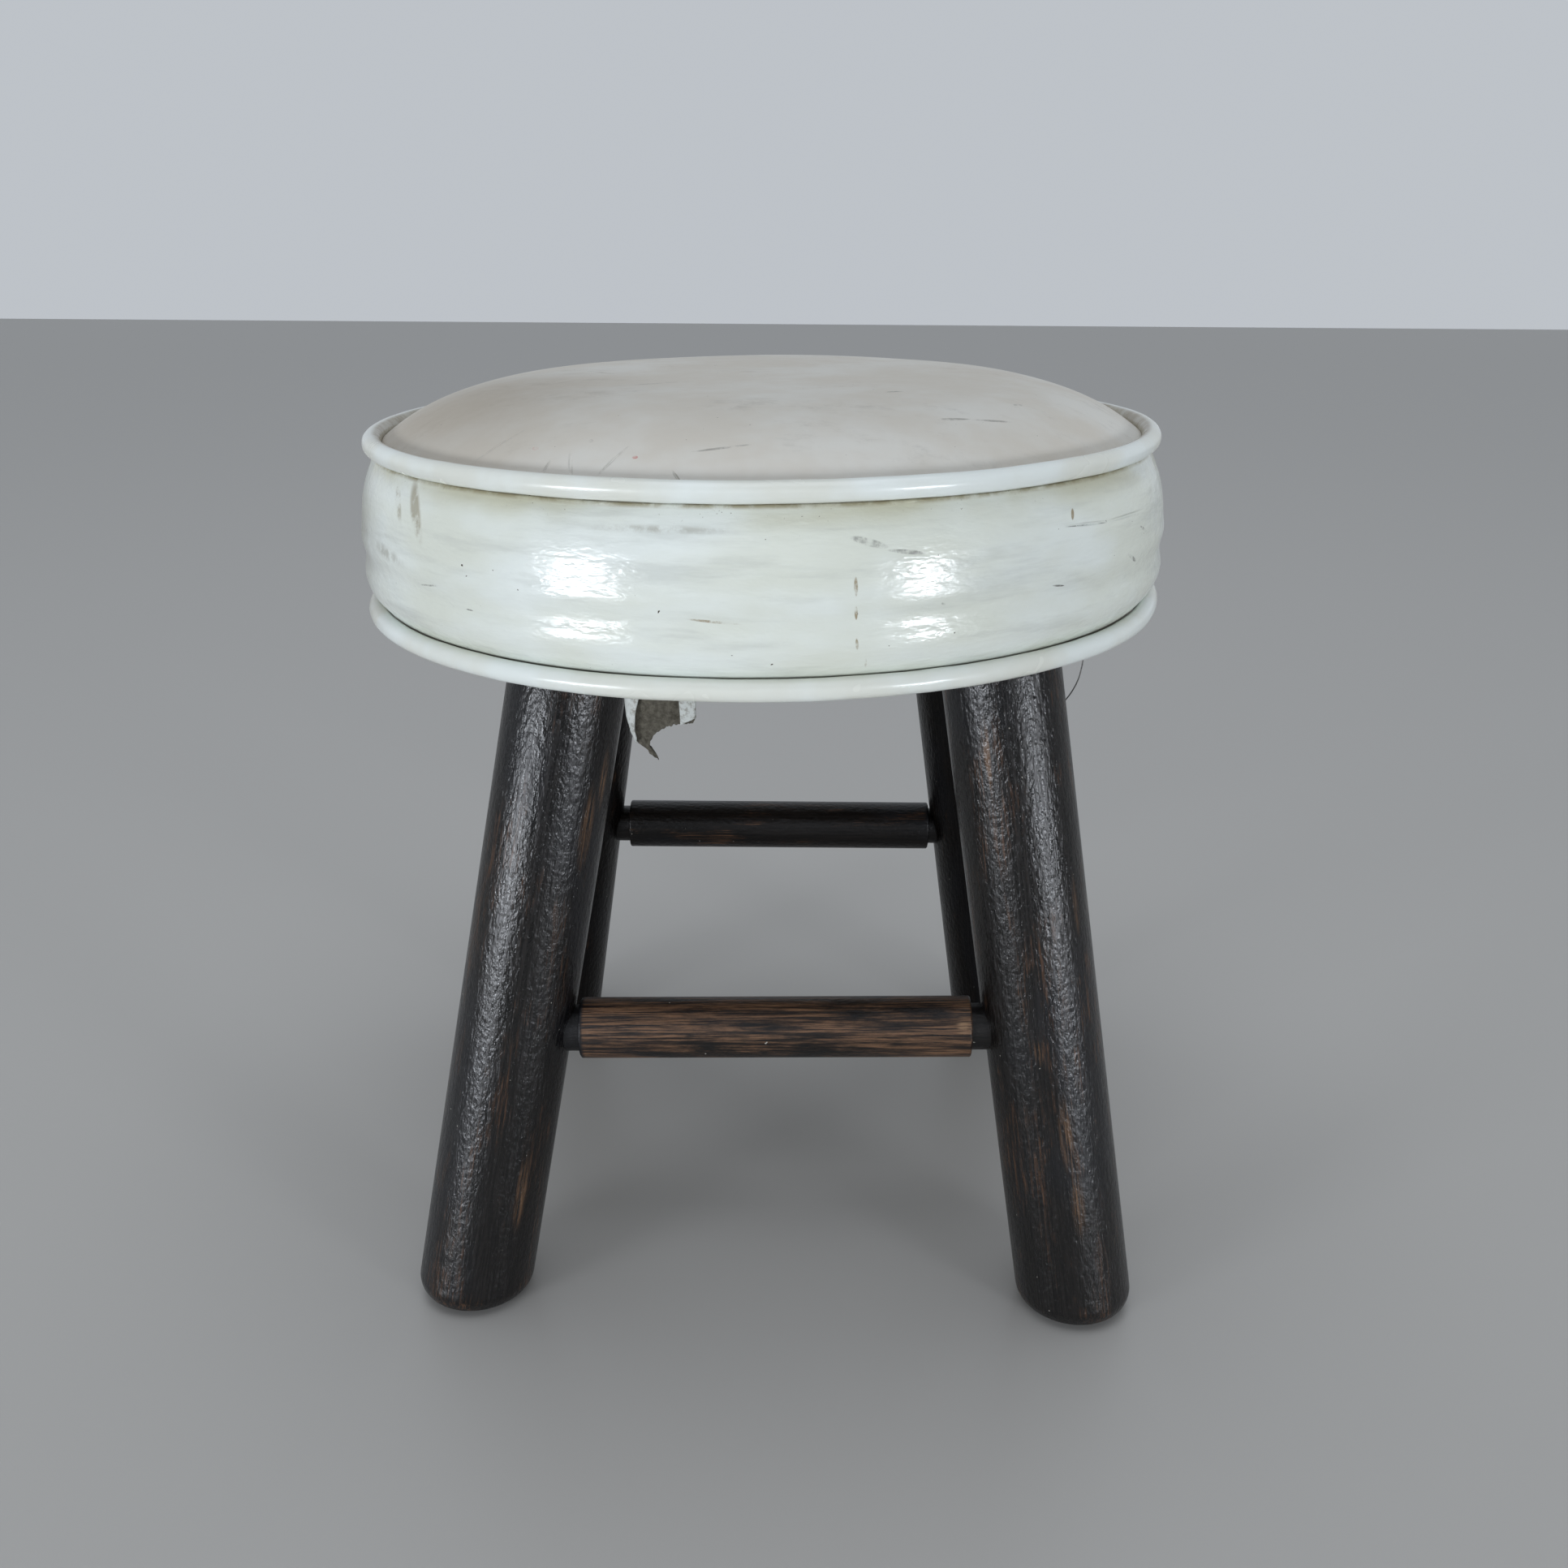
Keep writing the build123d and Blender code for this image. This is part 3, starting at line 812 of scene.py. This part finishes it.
band_vinyl, shader, place = new_finish("white_leathercloth_band")
in_seat = add(place, "Mapping", {"Vector": place} | SEAT_FRAME, vector_type="TEXTURE")
height = add(place, "SeparateXYZ", {"Vector": in_seat}, output="Z")
clouds = grain(place, 45, 3.0, (1.5, 1.5, 0.7))
patchy = grain(place, 9, 5.0, roughness=0.7)
wiped = grain(place, 11, 6.0, (5, 5, 0.6), 0.6)
tone = lay("#ebf1ec", "#e2e6da", (clouds, 0.35, 0.62))
tone = lay(tone, "#b1b5ae", (wiped, 0.48, 0.72, 0, 0.32))
gloss = where((patchy, 0.3, 0.7, 0.15, 0.26))
dress(cover_band, band_vinyl)
print("band from", round(BAND_LOW, 1), "to", round(BAND_HIGH, 1), "mm")

# %% [markdown]
# ## Dirt and painted shade along the seams
# Dirt and old polish gather where a cloth cannot reach: a yellow-brown line under the upper
# piping, which is also painted shade under the piping, with crumbs of dark dirt below it, and a
# grubby side on the left where the stool is picked up. A grey line above the lower piping is painted
# shade in the gap between band and piping.

# %% Dirt and painted shade along the seams
speckle = grain(place, 1.6, 4.0, roughness=0.7)
# Colour, distance below the upper seam in mm where it starts and is full, and where it clumps. The
# first two rows are dirt and painted shade under the upper piping; the third is crumbs of dirt.
SEAM_DIRT_AND_SHADE = [
    ("#bdb895", 10, 0, (clouds, 0.40, 0.60, 0.1, 0.6)),
    ("#9c9478", 2, 0.6, (patchy, 0.30, 0.62, 0.2, 0.9)),
    ("#5b4f38", 7, 2, (speckle, 0.66, 0.72)),
]
for code, start, full, clumps in SEAM_DIRT_AND_SHADE:
    near_seam = (height, (BAND_HIGH - start) * MM, (BAND_HIGH - full) * MM)
    tone = lay(tone, code, near_seam, clumps)
# Painted shade: a grey line just above the lower piping, in the gap where the band meets the piping.
gap_shade_line = (height, (BAND_LOW + 1.6) * MM, (BAND_LOW + 0.3) * MM, 0, 0.75)
tone = lay(tone, "#6e6a5c", gap_shade_line)
picked_up = oval(place, band_spot(-176, 28), band_spot(-158, 30), 70)
tone = lay(tone, "#98968a", (picked_up, 0, 0.9, 0, 0.8), (patchy, 0.3, 0.6, 0.5, 1))
print("seam dirt and painted shade laid, nodes:", len(band_vinyl.node_tree.nodes))

# %% [markdown]
# ## Stains and scuffs on the band
# The seat has stood in a working place. On the left two khaki drips run down from the seam,
# in front a scuff with grey ends goes down to the right, brown drips have dried below
# it, and there are nicks on the right where something hard was dragged along.

# %% Stains and scuffs on the band
KHAKI_DRIPS = [((-146.6, 56), (-143.5, 45), 5.0), ((-142, 58), (-138, 41), 7.5)]
SMUDGES = [((-152.6, 33), (-142, 30), 7.0), ((-112, 51.6), (-92, 51.9), 4.0)]
SCUFFS = [((-79.8, 49.4), (-75.6, 46), 3.0), ((-75.6, 45), (-70.8, 43.2), 1.8)]
BROWN_DRIPS = [
    ((-79.4, 37), (-79.4, 31.6), 1.5),
    ((-79.4, 27.7), (-79.3, 23.5), 1.2),
    ((-79.3, 17.3), (-79.2, 14.1), 1.3),
    ((-78.1, 11.2), (-77.9, 7.2), 1.0),
    ((-48.2, 50.8), (-48.5, 48.1), 1.8),
    ((-99.3, 24.4), (-92, 22.6), 1.0),
]
DARK_NICKS = [
    ((-132.5, 21.1), (-131.4, 19.9), 0.7),
    ((-129.1, 20.0), (-127.9, 19.9), 0.5),
    ((-138.5, 24.4), (-134, 26), 0.8),
    ((-68.9, 26.6), (-68.5, 26.2), 0.9),
    ((-31.6, 38.5), (-28.6, 34.6), 1.4),
    ((-36, 30.5), (-33, 26.5), 1.6),
    ((-52.6, 27), (-50.3, 26), 0.8),
    ((-50.6, 45.8), (-41, 43.9), 0.5),
]
STAINS = [
    ("#a39c86", KHAKI_DRIPS, 0.5),
    ("#b3b3a8", SMUDGES, 0.8),
    ("#85857f", SCUFFS, 0.3),
    ("#8b7447", BROWN_DRIPS, 0.3),
    ("#4c4a43", DARK_NICKS, 0.3),
]
for code, strokes, full in STAINS:
    mark_mask = marks(place, band_spot, strokes)
    tone = lay(tone, code, (mark_mask, 0, full), (patchy, 0.40, 0.60, 0.05, 0.8))
flecks = grain(place, 1.8, 1.0)
tone = lay(tone, "#4a4234", (flecks, 0.80, 0.83))
print("stains on the band:", sum(len(strokes) for code, strokes, full in STAINS))

# %% [markdown]
# ## Relief of the band
# Under tension the skin dimples like orange peel, in long, flat dimples of about 4 by 1.5 mm
# with finer ones between them. The rolled grain of 0.6 mm is drawn 0.9 mm to show. Two creases
# beside the right-hand nicks are pressed in, so their depth is negative.

# %% Relief of the band
BAND_CREASES = [((-51, 46), (-40, 44), 1.6), ((-42, 44.3), (-30, 43.6), 1.6)]
crease = where((marks(place, band_spot, BAND_CREASES), 0, 0.9))
dimples = grain(place, 4.2, 2.0, (1.6, 1.6, 0.55))
finer = grain(place, 1.8, 1.0, (1.7, 1.7, 0.6))
rolled = grain(place, 0.9, 1.0)
heights = [(crease, -0.5), (dimples, 0.24), (finer, 0.08), (rolled, 0.02)]
surface(shader, tone, gloss, PVC_IOR, heights)
print("nodes in the band's finish:", len(band_vinyl.node_tree.nodes))

# %% [markdown]
# ## Leathercloth of the top
# The top has been sat on and wiped for years, so its skin is worn matt, with a roughness near
# 0.55, and it is greyer and warmer than the band, most of all on the left. Fine scratches cross
# it, a few creases run in from the front seam, painted darker along their lines as shade, and
# there are two small specks of red paint.

# %% Leathercloth of the top
top_vinyl, shader, place = new_finish("worn_leathercloth_top")
clouds = grain(place, 60, 4.0, roughness=0.6)
patchy = grain(place, 9, 5.0, roughness=0.7)
soiled = grain(place, 26, 6.0, (2.2, 1, 1), 0.75)
tone = lay("#dfddd5", "#d6d0c4", (clouds, 0.36, 0.64))
tone = lay(tone, "#a5a198", (soiled, 0.52, 0.70, 0, 0.32), (patchy, 0.42, 0.60))
left_side = oval(place, dome_spot(180, 130), dome_spot(-135, 128), 110)
tone = lay(tone, "#aa9f8e", (left_side, 0, 0.9, 0, 0.7))
dress(cover_top, top_vinyl)
print("base of the top's finish laid, nodes:", len(top_vinyl.node_tree.nodes))

# %% Wear of the top
SCRATCHES = [
    ((170.6, 72.7), (-176, 58), 2.0),
    ((-137, 65), (-129, 47), 1.4),
    ((-99.9, 134.2), (-91, 129.9), 1.0),
    ((-62, 118.4), (-54, 121), 1.4),
    ((-54, 121.5), (-46.4, 126.4), 1.2),
    ((-57.4, 82.7), (-53, 83.8), 1.2),
    ((-38.8, 115.4), (-37.2, 116.4), 1.5),
    ((-115.7, 130.1), (-115.3, 130.6), 1.4),
]
PAINT_SPECKS = [((-123.8, 136.1), (-123.1, 136.4), 1.5), ((-107.5, 137.2), (-107.1, 137.3), 1.3)]
CREASES = [
    ((-129, 126), (-132, 145), 1.6),
    ((-117.4, 136), (-114.6, 147), 1.7),
    ((-119.5, 140), (-119.2, 147), 1.1),
    ((-109.0, 131), (-111.5, 147), 1.3),
    ((-101.6, 142), (-99.8, 147.5), 1.1),
]
# The creases are laid in a darker grey along their lines: painted shade in the creases.
for code, strokes in (("#96928a", SCRATCHES), ("#bdb9af", CREASES), ("#c56f66", PAINT_SPECKS)):
    mark_mask = marks(place, dome_spot, strokes)
    tone = lay(tone, code, (mark_mask, 0, 0.3), (patchy, 0.42, 0.62, 0.0, 0.75))
flecks = grain(place, 1.6, 1.0)
tone = lay(tone, "#5a564c", (flecks, 0.80, 0.83))
matt = where((patchy, 0.3, 0.7, 0.50, 0.64))
creased = where((marks(place, dome_spot, CREASES), 0, 0.8))
fine_folds = grain(place, 7, 3.0, (1, 0.5, 1))
rolled = grain(place, 1.1, 2.0)
heights = [(creased, -0.30), (fine_folds, 0.10), (rolled, 0.03)]
surface(shader, tone, matt, PVC_IOR, heights)
print("nodes in the top's finish:", len(top_vinyl.node_tree.nodes))

# %% [markdown]
# ## Leathercloth of the piping
# The piping is the same cloth, rubbed clean and glossy on its outside and grubby on the side
# that faces the seat's axis, where a cloth does not reach. So the dirt depends on the distance
# from the axis: it begins on the crown of the tube and is full halfway down its inner side.

# %% Leathercloth of the piping
piping_vinyl, shader, place = new_finish("white_leathercloth_piping")
patchy = grain(place, 7, 4.0, roughness=0.6)
clouds = grain(place, 40, 3.0)
in_seat = add(place, "Mapping", {"Vector": place} | SEAT_FRAME, vector_type="TEXTURE")
level = add(place, "VectorMath", {0: in_seat, 1: (1, 1, 0)}, operation="MULTIPLY")
from_axis = add(place, "VectorMath", {0: level}, output="Value", operation="LENGTH")
inner_side = ((HIGH_RING_R + 0.6) * MM, (HIGH_RING_R - 1.8) * MM)
tone = lay("#ecf2ee", "#e4e6dc", (clouds, 0.38, 0.62))
tone = lay(tone, "#958c78", (from_axis, *inner_side), (patchy, 0.30, 0.64, 0.75, 1.0))
handled = oval(place, seat_spot(HIGH_RING_R, -176, 28), seat_spot(HIGH_RING_R, -156, 30), 90)
tone = lay(tone, "#98917f", (handled, 0, 0.8, 0, 0.75))
gloss = where((clouds, 0.3, 0.7, 0.20, 0.28))
stretched = grain(place, 3.0, 2.0)
rolled = grain(place, 0.9, 1.0)
surface(shader, tone, gloss, PVC_IOR, [(stretched, 0.05), (rolled, 0.015)])
for piece in pipings:
    dress(piece, piping_vinyl)
print("piping dirt starts at", round(inner_side[0] / MM, 1), "mm from the axis")

# %% [markdown]
# ## Underside of the cloth
# The hem is the same white cloth turned under, yellowed and dusty because nobody wipes there.
# The torn flap shows both faces: the white skin, cracked where it has curled, and a grey-brown
# knitted backing, so dusty that its loops, about 0.8 mm apart, hardly show.

# %% Hem finish
hem_vinyl, shader, place = new_finish("dusty_leathercloth_hem")
dust = grain(place, 12, 6.0, roughness=0.7)
puckers = grain(place, 2.6, 3.0)
rolled = grain(place, 0.9, 1.0)
tone = lay("#cfccc0", "#8f8672", (dust, 0.40, 0.66))
surface(shader, tone, 0.5, PVC_IOR, [(puckers, 0.15), (rolled, 0.03)])
dress(cover_hem, hem_vinyl)
print("hem finish on", cover_hem.name)

# %% Flap finishes
flap_vinyl, shader, place = new_finish("curled_leathercloth_flap")
crinkle = grain(place, 2.0, 4.0, roughness=0.7)
rolled = grain(place, 0.8, 1.0)
tone = lay("#c6cac6", "#8e8c82", (crinkle, 0.46, 0.66))
surface(shader, tone, 0.3, PVC_IOR, [(crinkle, 0.5), (rolled, 0.05)])

flap_backing, shader, place = new_finish("knitted_cotton_backing")
inputs = {"Vector": place, "Scale": per(0.8) / (2 * math.pi), "Distortion": 3.0, "Detail": 2.0}
loops = add(place, "TexWave", inputs, bands_direction="X")
fluff = grain(place, 1.6, 5.0, roughness=0.75)
tone = lay("#625e53", "#423e34", (fluff, 0.35, 0.65))
surface(shader, tone, 0.95, 1.5, [(fluff, 0.35), (loops, 0.04)], {"Sheen Weight": 0.1})
dress(torn_flap, flap_vinyl, flap_backing)
print("flap slots:", [item.name for item in torn_flap.data.materials])

# %% [markdown]
# ## Ebonised wood
# The legs are turned hardwood, stained near black and varnished to a satin sheen, which is a
# roughness of about 0.3 and an IOR of 1.5. The varnish has shrunk into fine pebbles of 1.2 mm,
# drawn 1.8 mm to show, that break the sheen into sparkle. The grain runs along each piece,
# 0.5 mm wide, drawn 0.8 mm, and many times longer. Where hands, boots and straw have rubbed,
# the brown of the wood shows through in streaks. Each piece gets coordinates along its own
# axis, moved on by a step of its own, so that no two pieces show the same grain.

# %% Grain of the wood
WOOD_IOR = 1.5
GRAIN_LINE = 0.8
GRAIN_STEP = (0.3, 1, 1)


def wood_grain(place, ends, seed, recipe):
    """Coordinates along a piece, and a dictionary of the patterns of its wood and varnish."""
    start, end = ends
    turn = Vector((0, 0, 1)).rotation_difference((end - start).normalized()).to_euler()
    inputs = {"Vector": place, "Location": start, "Rotation": turn}
    along = add(place, "Mapping", inputs, vector_type="TEXTURE")
    step = Vector(GRAIN_STEP) * seed
    own = add(place, "Mapping", {"Vector": along, "Location": step})
    drawn_out = (1, 1, recipe["stretch"])
    return along, {
        "fibres": grain(own, GRAIN_LINE, 5.0, drawn_out, 0.7),
        "streaks": grain(own, 0.9, 6.0, drawn_out, 0.75),
        "patches": grain(own, recipe["patch"], 6.0, (1, 1, 3.4), 0.68),
        "pebbles": grain(own, 1.8, 2.0, (1, 1, 1.6), 0.6),
        "clouds": grain(own, 42, 3.0, (1, 1, 2.5)),
        "specks": grain(own, 1.5, 1.0),
    }


print("grain lines drawn", GRAIN_LINE, "mm wide")

# %% Ebonised wood
STAIN_BLACKS = ("#070606", "#14100e")
WORN_EDGE = 1.5 * MM


def bare_wood(tone, along, wood, recipe, rubs, bare_part):
    """Lays the brown of the wood over the stain, in worn streaks and in rubbed places."""
    worn = [(wood["patches"], *recipe["worn"]), (wood["streaks"], *recipe["streaks"])]
    if bare_part:
        reach = add(along, "SeparateXYZ", {"Vector": along}, output="Z")
        first, last = (edge * MM for edge in bare_part)
        worn += [(reach, first, first + WORN_EDGE), (reach, last, last - WORN_EDGE)]
    tone = lay(tone, lay(*recipe["browns"], (wood["fibres"], 0.41, 0.59)), *worn)
    in_streaks = (wood["streaks"], 0.43, 0.56, 0, 0.9)
    for distance, bearing, length, width in rubs:
        side = math.radians(bearing)
        radius = recipe["radius"]
        centre = Vector((math.sin(side) * radius, -math.cos(side) * radius, distance)) * MM
        size = Vector((width, width, length)) * MM / 2
        rub = (blob(along, centre, size), 0, 0.8)
        tone = lay(tone, recipe["rubbed"], rub, in_streaks)
    return tone


def ebonised(name, ends, seed, recipe, rubs=(), bare_part=None):
    """Stained wood with its brown showing through.

    Rubs are places along the piece in mm, their bearing from the front, length and width; the
    bare part is the stretch between two distances outside which the stain is untouched.
    """
    material, shader, place = new_finish(name)
    along, wood = wood_grain(place, ends, seed, recipe)
    tone = lay(*STAIN_BLACKS, (wood["fibres"], 0.38, 0.62))
    tone = lay(tone, "#17181c", (wood["clouds"], 0.52, 0.40, 0, 0.6))
    tone = bare_wood(tone, along, wood, recipe, rubs, bare_part)
    tone = lay(tone, "#a9a59c", (wood["specks"], 0.81, 0.83))
    sheen = where((wood["fibres"], 0.3, 0.7, *recipe["sheen"]))
    depths = {"clouds": 0.15, "fibres": 0.12, "pebbles": recipe["pebble"]}
    heights = [(wood[pattern], depth) for pattern, depth in depths.items()]
    gleam = {"Specular IOR Level": recipe["gleam"]}
    surface(shader, tone, sheen, WOOD_IOR, heights, gleam)
    return material


print("stain:", STAIN_BLACKS)

# %% Legs
LEG_WOOD = {
    "stretch": 24.0, "patch": 13.0, "radius": LEG_R, "sheen": (0.16, 0.38),
    "browns": ("#1d1511", "#4d3422"), "rubbed": "#6b5039", "pebble": 0.42,
}
LEG_WEAR = {"front_left": 0.55, "front_right": 0.62, "back_left": 0.3, "back_right": 0.3}
LEG_GLEAM = {"front_left": 0.5, "front_right": 0.5, "back_left": 0.2, "back_right": 0.2}
LEG_RUBS = {
    "front_left": [(214, 60, 30, 6), (196, 46, 40, 8), (50, 34, 40, 6)],
    "front_right": [
        (78, 7, 40, 8),
        (112, -11, 12, 4),
        (226, -28, 34, 5),
        (165, 44, 30, 4),
        (52, 10, 40, 7),
    ],
}
for number, leg_name in enumerate(LEG_NAMES):
    wear = LEG_WEAR[leg_name]
    recipe = LEG_WOOD | {
        "gleam": LEG_GLEAM[leg_name],
        "worn": (0.60 - 0.16 * wear, 0.68 - 0.14 * wear),
        "streaks": (0.56 - 0.12 * wear, 0.64 - 0.12 * wear),
    }
    rubs = LEG_RUBS.get(leg_name, ())
    finish = ebonised("ebonised_wood_" + leg_name, LEGS[leg_name], number + 1, recipe, rubs)
    dress(NODES["leg_" + leg_name], finish)
    print("wear of leg", leg_name, wear)

# %% [markdown]
# ## Stretchers
# Feet rest on the front stretcher, so most of its stain is gone, and fine brown and orange
# grain lines run along it. Its turned necks are still dark. A pale spot has been rubbed beside
# the right shoulder. The back stretcher is hardly worn.

# %% Stretchers
STRETCHER_R = 11.9
SHOULDER_SETBACK = 75.0
STRETCHER_WOOD = {
    "front": {
        "stretch": 45.0, "patch": 17.0, "radius": STRETCHER_R, "sheen": (0.34, 0.5),
        "browns": ("#1e1511", "#785941"), "rubbed": "#8a6f54", "pebble": 0.3, "gleam": 0.45,
        "worn": (0.38, 0.55), "streaks": (0.36, 0.52),
    },
    "back": {
        "stretch": 40.0, "patch": 15.0, "radius": STRETCHER_R, "sheen": (0.30, 0.42),
        "browns": ("#191310", "#563c29"), "rubbed": "#4d3a2b", "pebble": 0.35, "gleam": 0.35,
        "worn": (0.50, 0.60), "streaks": (0.44, 0.54),
    },
}
for number, (side, recipe) in enumerate(STRETCHER_WOOD.items()):
    ends = axis_ends("stretcher_" + side, (1, 0, 0))
    halfway = (ends[1] - ends[0]).length / MM / 2
    bare_part = (halfway - SHOULDER_SETBACK, halfway + SHOULDER_SETBACK)
    rubs = [(halfway + SHOULDER_SETBACK - 4, -28, 7, 9)] if side == "front" else ()
    name = "worn_wood_stretcher_" + side
    finish = ebonised(name, ends, number + 7, recipe, rubs, bare_part)
    dress(NODES["stretcher_" + side], finish)
    print("stretcher", side, "half length", round(halfway, 1), "mm")

# %% [markdown]
# ## Board, wedges and tacks
# The board is bare softwood, sawn and grey with dust, and the wedges are split beech. The tacks
# are blued steel: a metal keeps the default IOR, so its colour and roughness make its look, and
# where the bluing has worn there is a little rust, which is matt and no longer a metal.

# %% Board
board_wood, shader, place = new_finish("sawn_softwood_board")
rings = grain(place, 4.5, 4.0, (1, 26, 1), 0.6)
dusty = grain(place, 22, 5.0)
saw_marks = grain(place, 0.7, 2.0, (1, 8, 1))
tone = lay("#9a7c57", "#6e5337", (rings, 0.38, 0.62))
tone = lay(tone, "#8d8577", (dusty, 0.42, 0.66, 0, 0.7))
surface(shader, tone, 0.8, WOOD_IOR, [(rings, 0.25), (saw_marks, 0.08)])
dress(NODES["seat_board"], board_wood)
print("finish of the board:", board_wood.name)

# %% Wedges and tacks
wedge_wood, shader, place = new_finish("split_beech_wedge")
rings = grain(place, 0.8, 3.0, (1, 1, 14), 0.6)
tone = lay("#b08a5e", "#8a6640", (rings, 0.35, 0.65))
surface(shader, tone, 0.7, WOOD_IOR, [(rings, 0.12)])
dress(NODES["tenon_wedges"], wedge_wood)

blued_steel, shader, place = new_finish("blued_steel_tacks")
METAL_IOR = shader.inputs["IOR"].default_value
rust = grain(place, 2.2, 5.0, roughness=0.7)
tone = lay("#3c4149", "#5c3b26", (rust, 0.50, 0.62))
shine = where((rust, 0.45, 0.62, 0.34, 0.8))
metal = where((rust, 0.50, 0.62, 1.0, 0.15))
surface(shader, tone, shine, METAL_IOR, [(rust, 0.06)], {"Metallic": metal})
dress(NODES["hem_tacks"], blued_steel)
print("finishes of wedges and tacks:", wedge_wood.name, blued_steel.name)

# %% [markdown]
# ## Stuffing, cords and thread
# Foam is a matt, cream-yellow sponge with cells under a millimetre, drawn at 1 mm. Wadding
# and cord are unbleached cotton, with a sheen from loose fibres. The thread is waxed and grey.

# %% Stuffing finishes
upholstery_foam, shader, place = new_finish("upholstery_foam")
cells = add(place, "TexVoronoi", {"Vector": place, "Scale": per(1.0)})
tone = lay("#d8c48a", "#b79c5c", (cells, 0.2, 0.8))
surface(shader, tone, 0.95, 1.45, [(cells, 0.4)])
dress(foam_pad, upholstery_foam)

cotton, shader, place = new_finish("cotton_wadding_and_cord")
fibres = grain(place, 3.0, 8.0, (1, 3, 1), 0.75)
tone = lay("#e2d9c4", "#c3b595", (fibres, 0.35, 0.65))
surface(shader, tone, 0.95, 1.5, [(fibres, 0.5)], {"Sheen Weight": 0.4})
for piece in (wadding, *welt_cords):
    dress(piece, cotton)
print("nodes in the cotton's finish:", len(cotton.node_tree.nodes))

# %% Thread finish
waxed_thread, shader, place = new_finish("waxed_linen_thread")
twist = grain(place, 0.5, 2.0)
tone = lay("#8d8d8a", "#5f5f5c", (twist, 0.4, 0.6))
surface(shader, tone, 0.5, 1.5)
dress(loose_thread, waxed_thread)
print("finish of the thread:", waxed_thread.name)

# %% [markdown]
# ## Floor
# A plain, pale floor carries the stool and its soft shadow. It is painted to a satin sheen, with
# a roughness near 0.4 and an IOR of 1.5, so at a low angle it passes the light of the windows on
# to the legs, whose bright stripes then run down to their feet.

# %% Floor
FLOOR_R = 6.0
floor_mesh = bpy.data.meshes.new("floor")
corners = [(FLOOR_R * x, FLOOR_R * y, 0) for x, y in ((-1, -1), (1, -1), (1, 1), (-1, 1))]
floor_mesh.from_pydata(corners, [], [(0, 1, 2, 3)])
floor = bpy.data.objects.new("floor", floor_mesh)
bpy.context.scene.collection.objects.link(floor)
pale_floor, shader = new_finish("pale_painted_floor")[:2]
surface(shader, colour("#bdbbb7"), 0.38, 1.5)
dress(floor, pale_floor)
print("floor half-width", FLOOR_R, "m")

# %% [markdown]
# ## Light
# The room is bright all round, with two windows: one to the left and one to the right, both
# low, so that they mirror in the band as two pairs of bright patches and run down the legs as
# soft stripes. A large, weak panel in front opens the shadows and one overhead lights the top.
# The world is a pale grey, darker behind the viewer than behind the stool, which keeps the dark
# wood of the legs dark.

# %% Lamps
DAYLIGHT = "#f2f7ff"
LAMP_AIM = Vector((0, 0, 0.26))
# Name, bearing from the front, elevation, distance, width, height and watts of each lamp.
LAMPS = [
    ("window_left", -47.6, -1.2, 2.0, 0.54, 0.31, 17),
    ("window_right", 41.2, -1.2, 2.0, 0.37, 0.31, 12.5),
    ("front_panel", -5, 16, 2.2, 1.8, 0.8, 4.2),
    ("ceiling_panel", 0, 82, 2.4, 2.0, 2.0, 18),
]
for name, bearing, elevation, distance, width, height, watts in LAMPS:
    turn, lift = math.radians(bearing), math.radians(elevation)
    level = math.cos(lift)
    away = Vector((math.sin(turn) * level, -math.cos(turn) * level, math.sin(lift)))
    lamp = bpy.data.lights.new(name, "AREA")
    lamp.shape = "RECTANGLE"
    lamp.size = width
    lamp.size_y = height
    lamp.energy = watts
    lamp.color = colour(DAYLIGHT)[:3]
    light = bpy.data.objects.new(name, lamp)
    light.matrix_world = aimed(LAMP_AIM + away * distance, -away)
    bpy.context.scene.collection.objects.link(light)
    print(name, watts, "W")

# %% Room
world = bpy.data.worlds.new("pale_room")
world.use_nodes = True
sky = world.node_tree
direction = add(sky, "TexCoord", output="Generated")
backwards = add(sky, "SeparateXYZ", {"Vector": direction}, output="Y")
brightness = where((backwards, -0.7, 0.6, 0.20, 0.92))
wire(sky.nodes["Background"], {"Color": colour("#c5cad0"), "Strength": brightness})
bpy.context.scene.world = world
print("room set up, brighter behind the stool than behind the viewer")

# %% [markdown]
# ## Update
# The drawn cloth must fill the same space as the CAD model. Here the view layer is brought up to
# date once every part is in place.

# %% Update
bpy.context.view_layer.update()
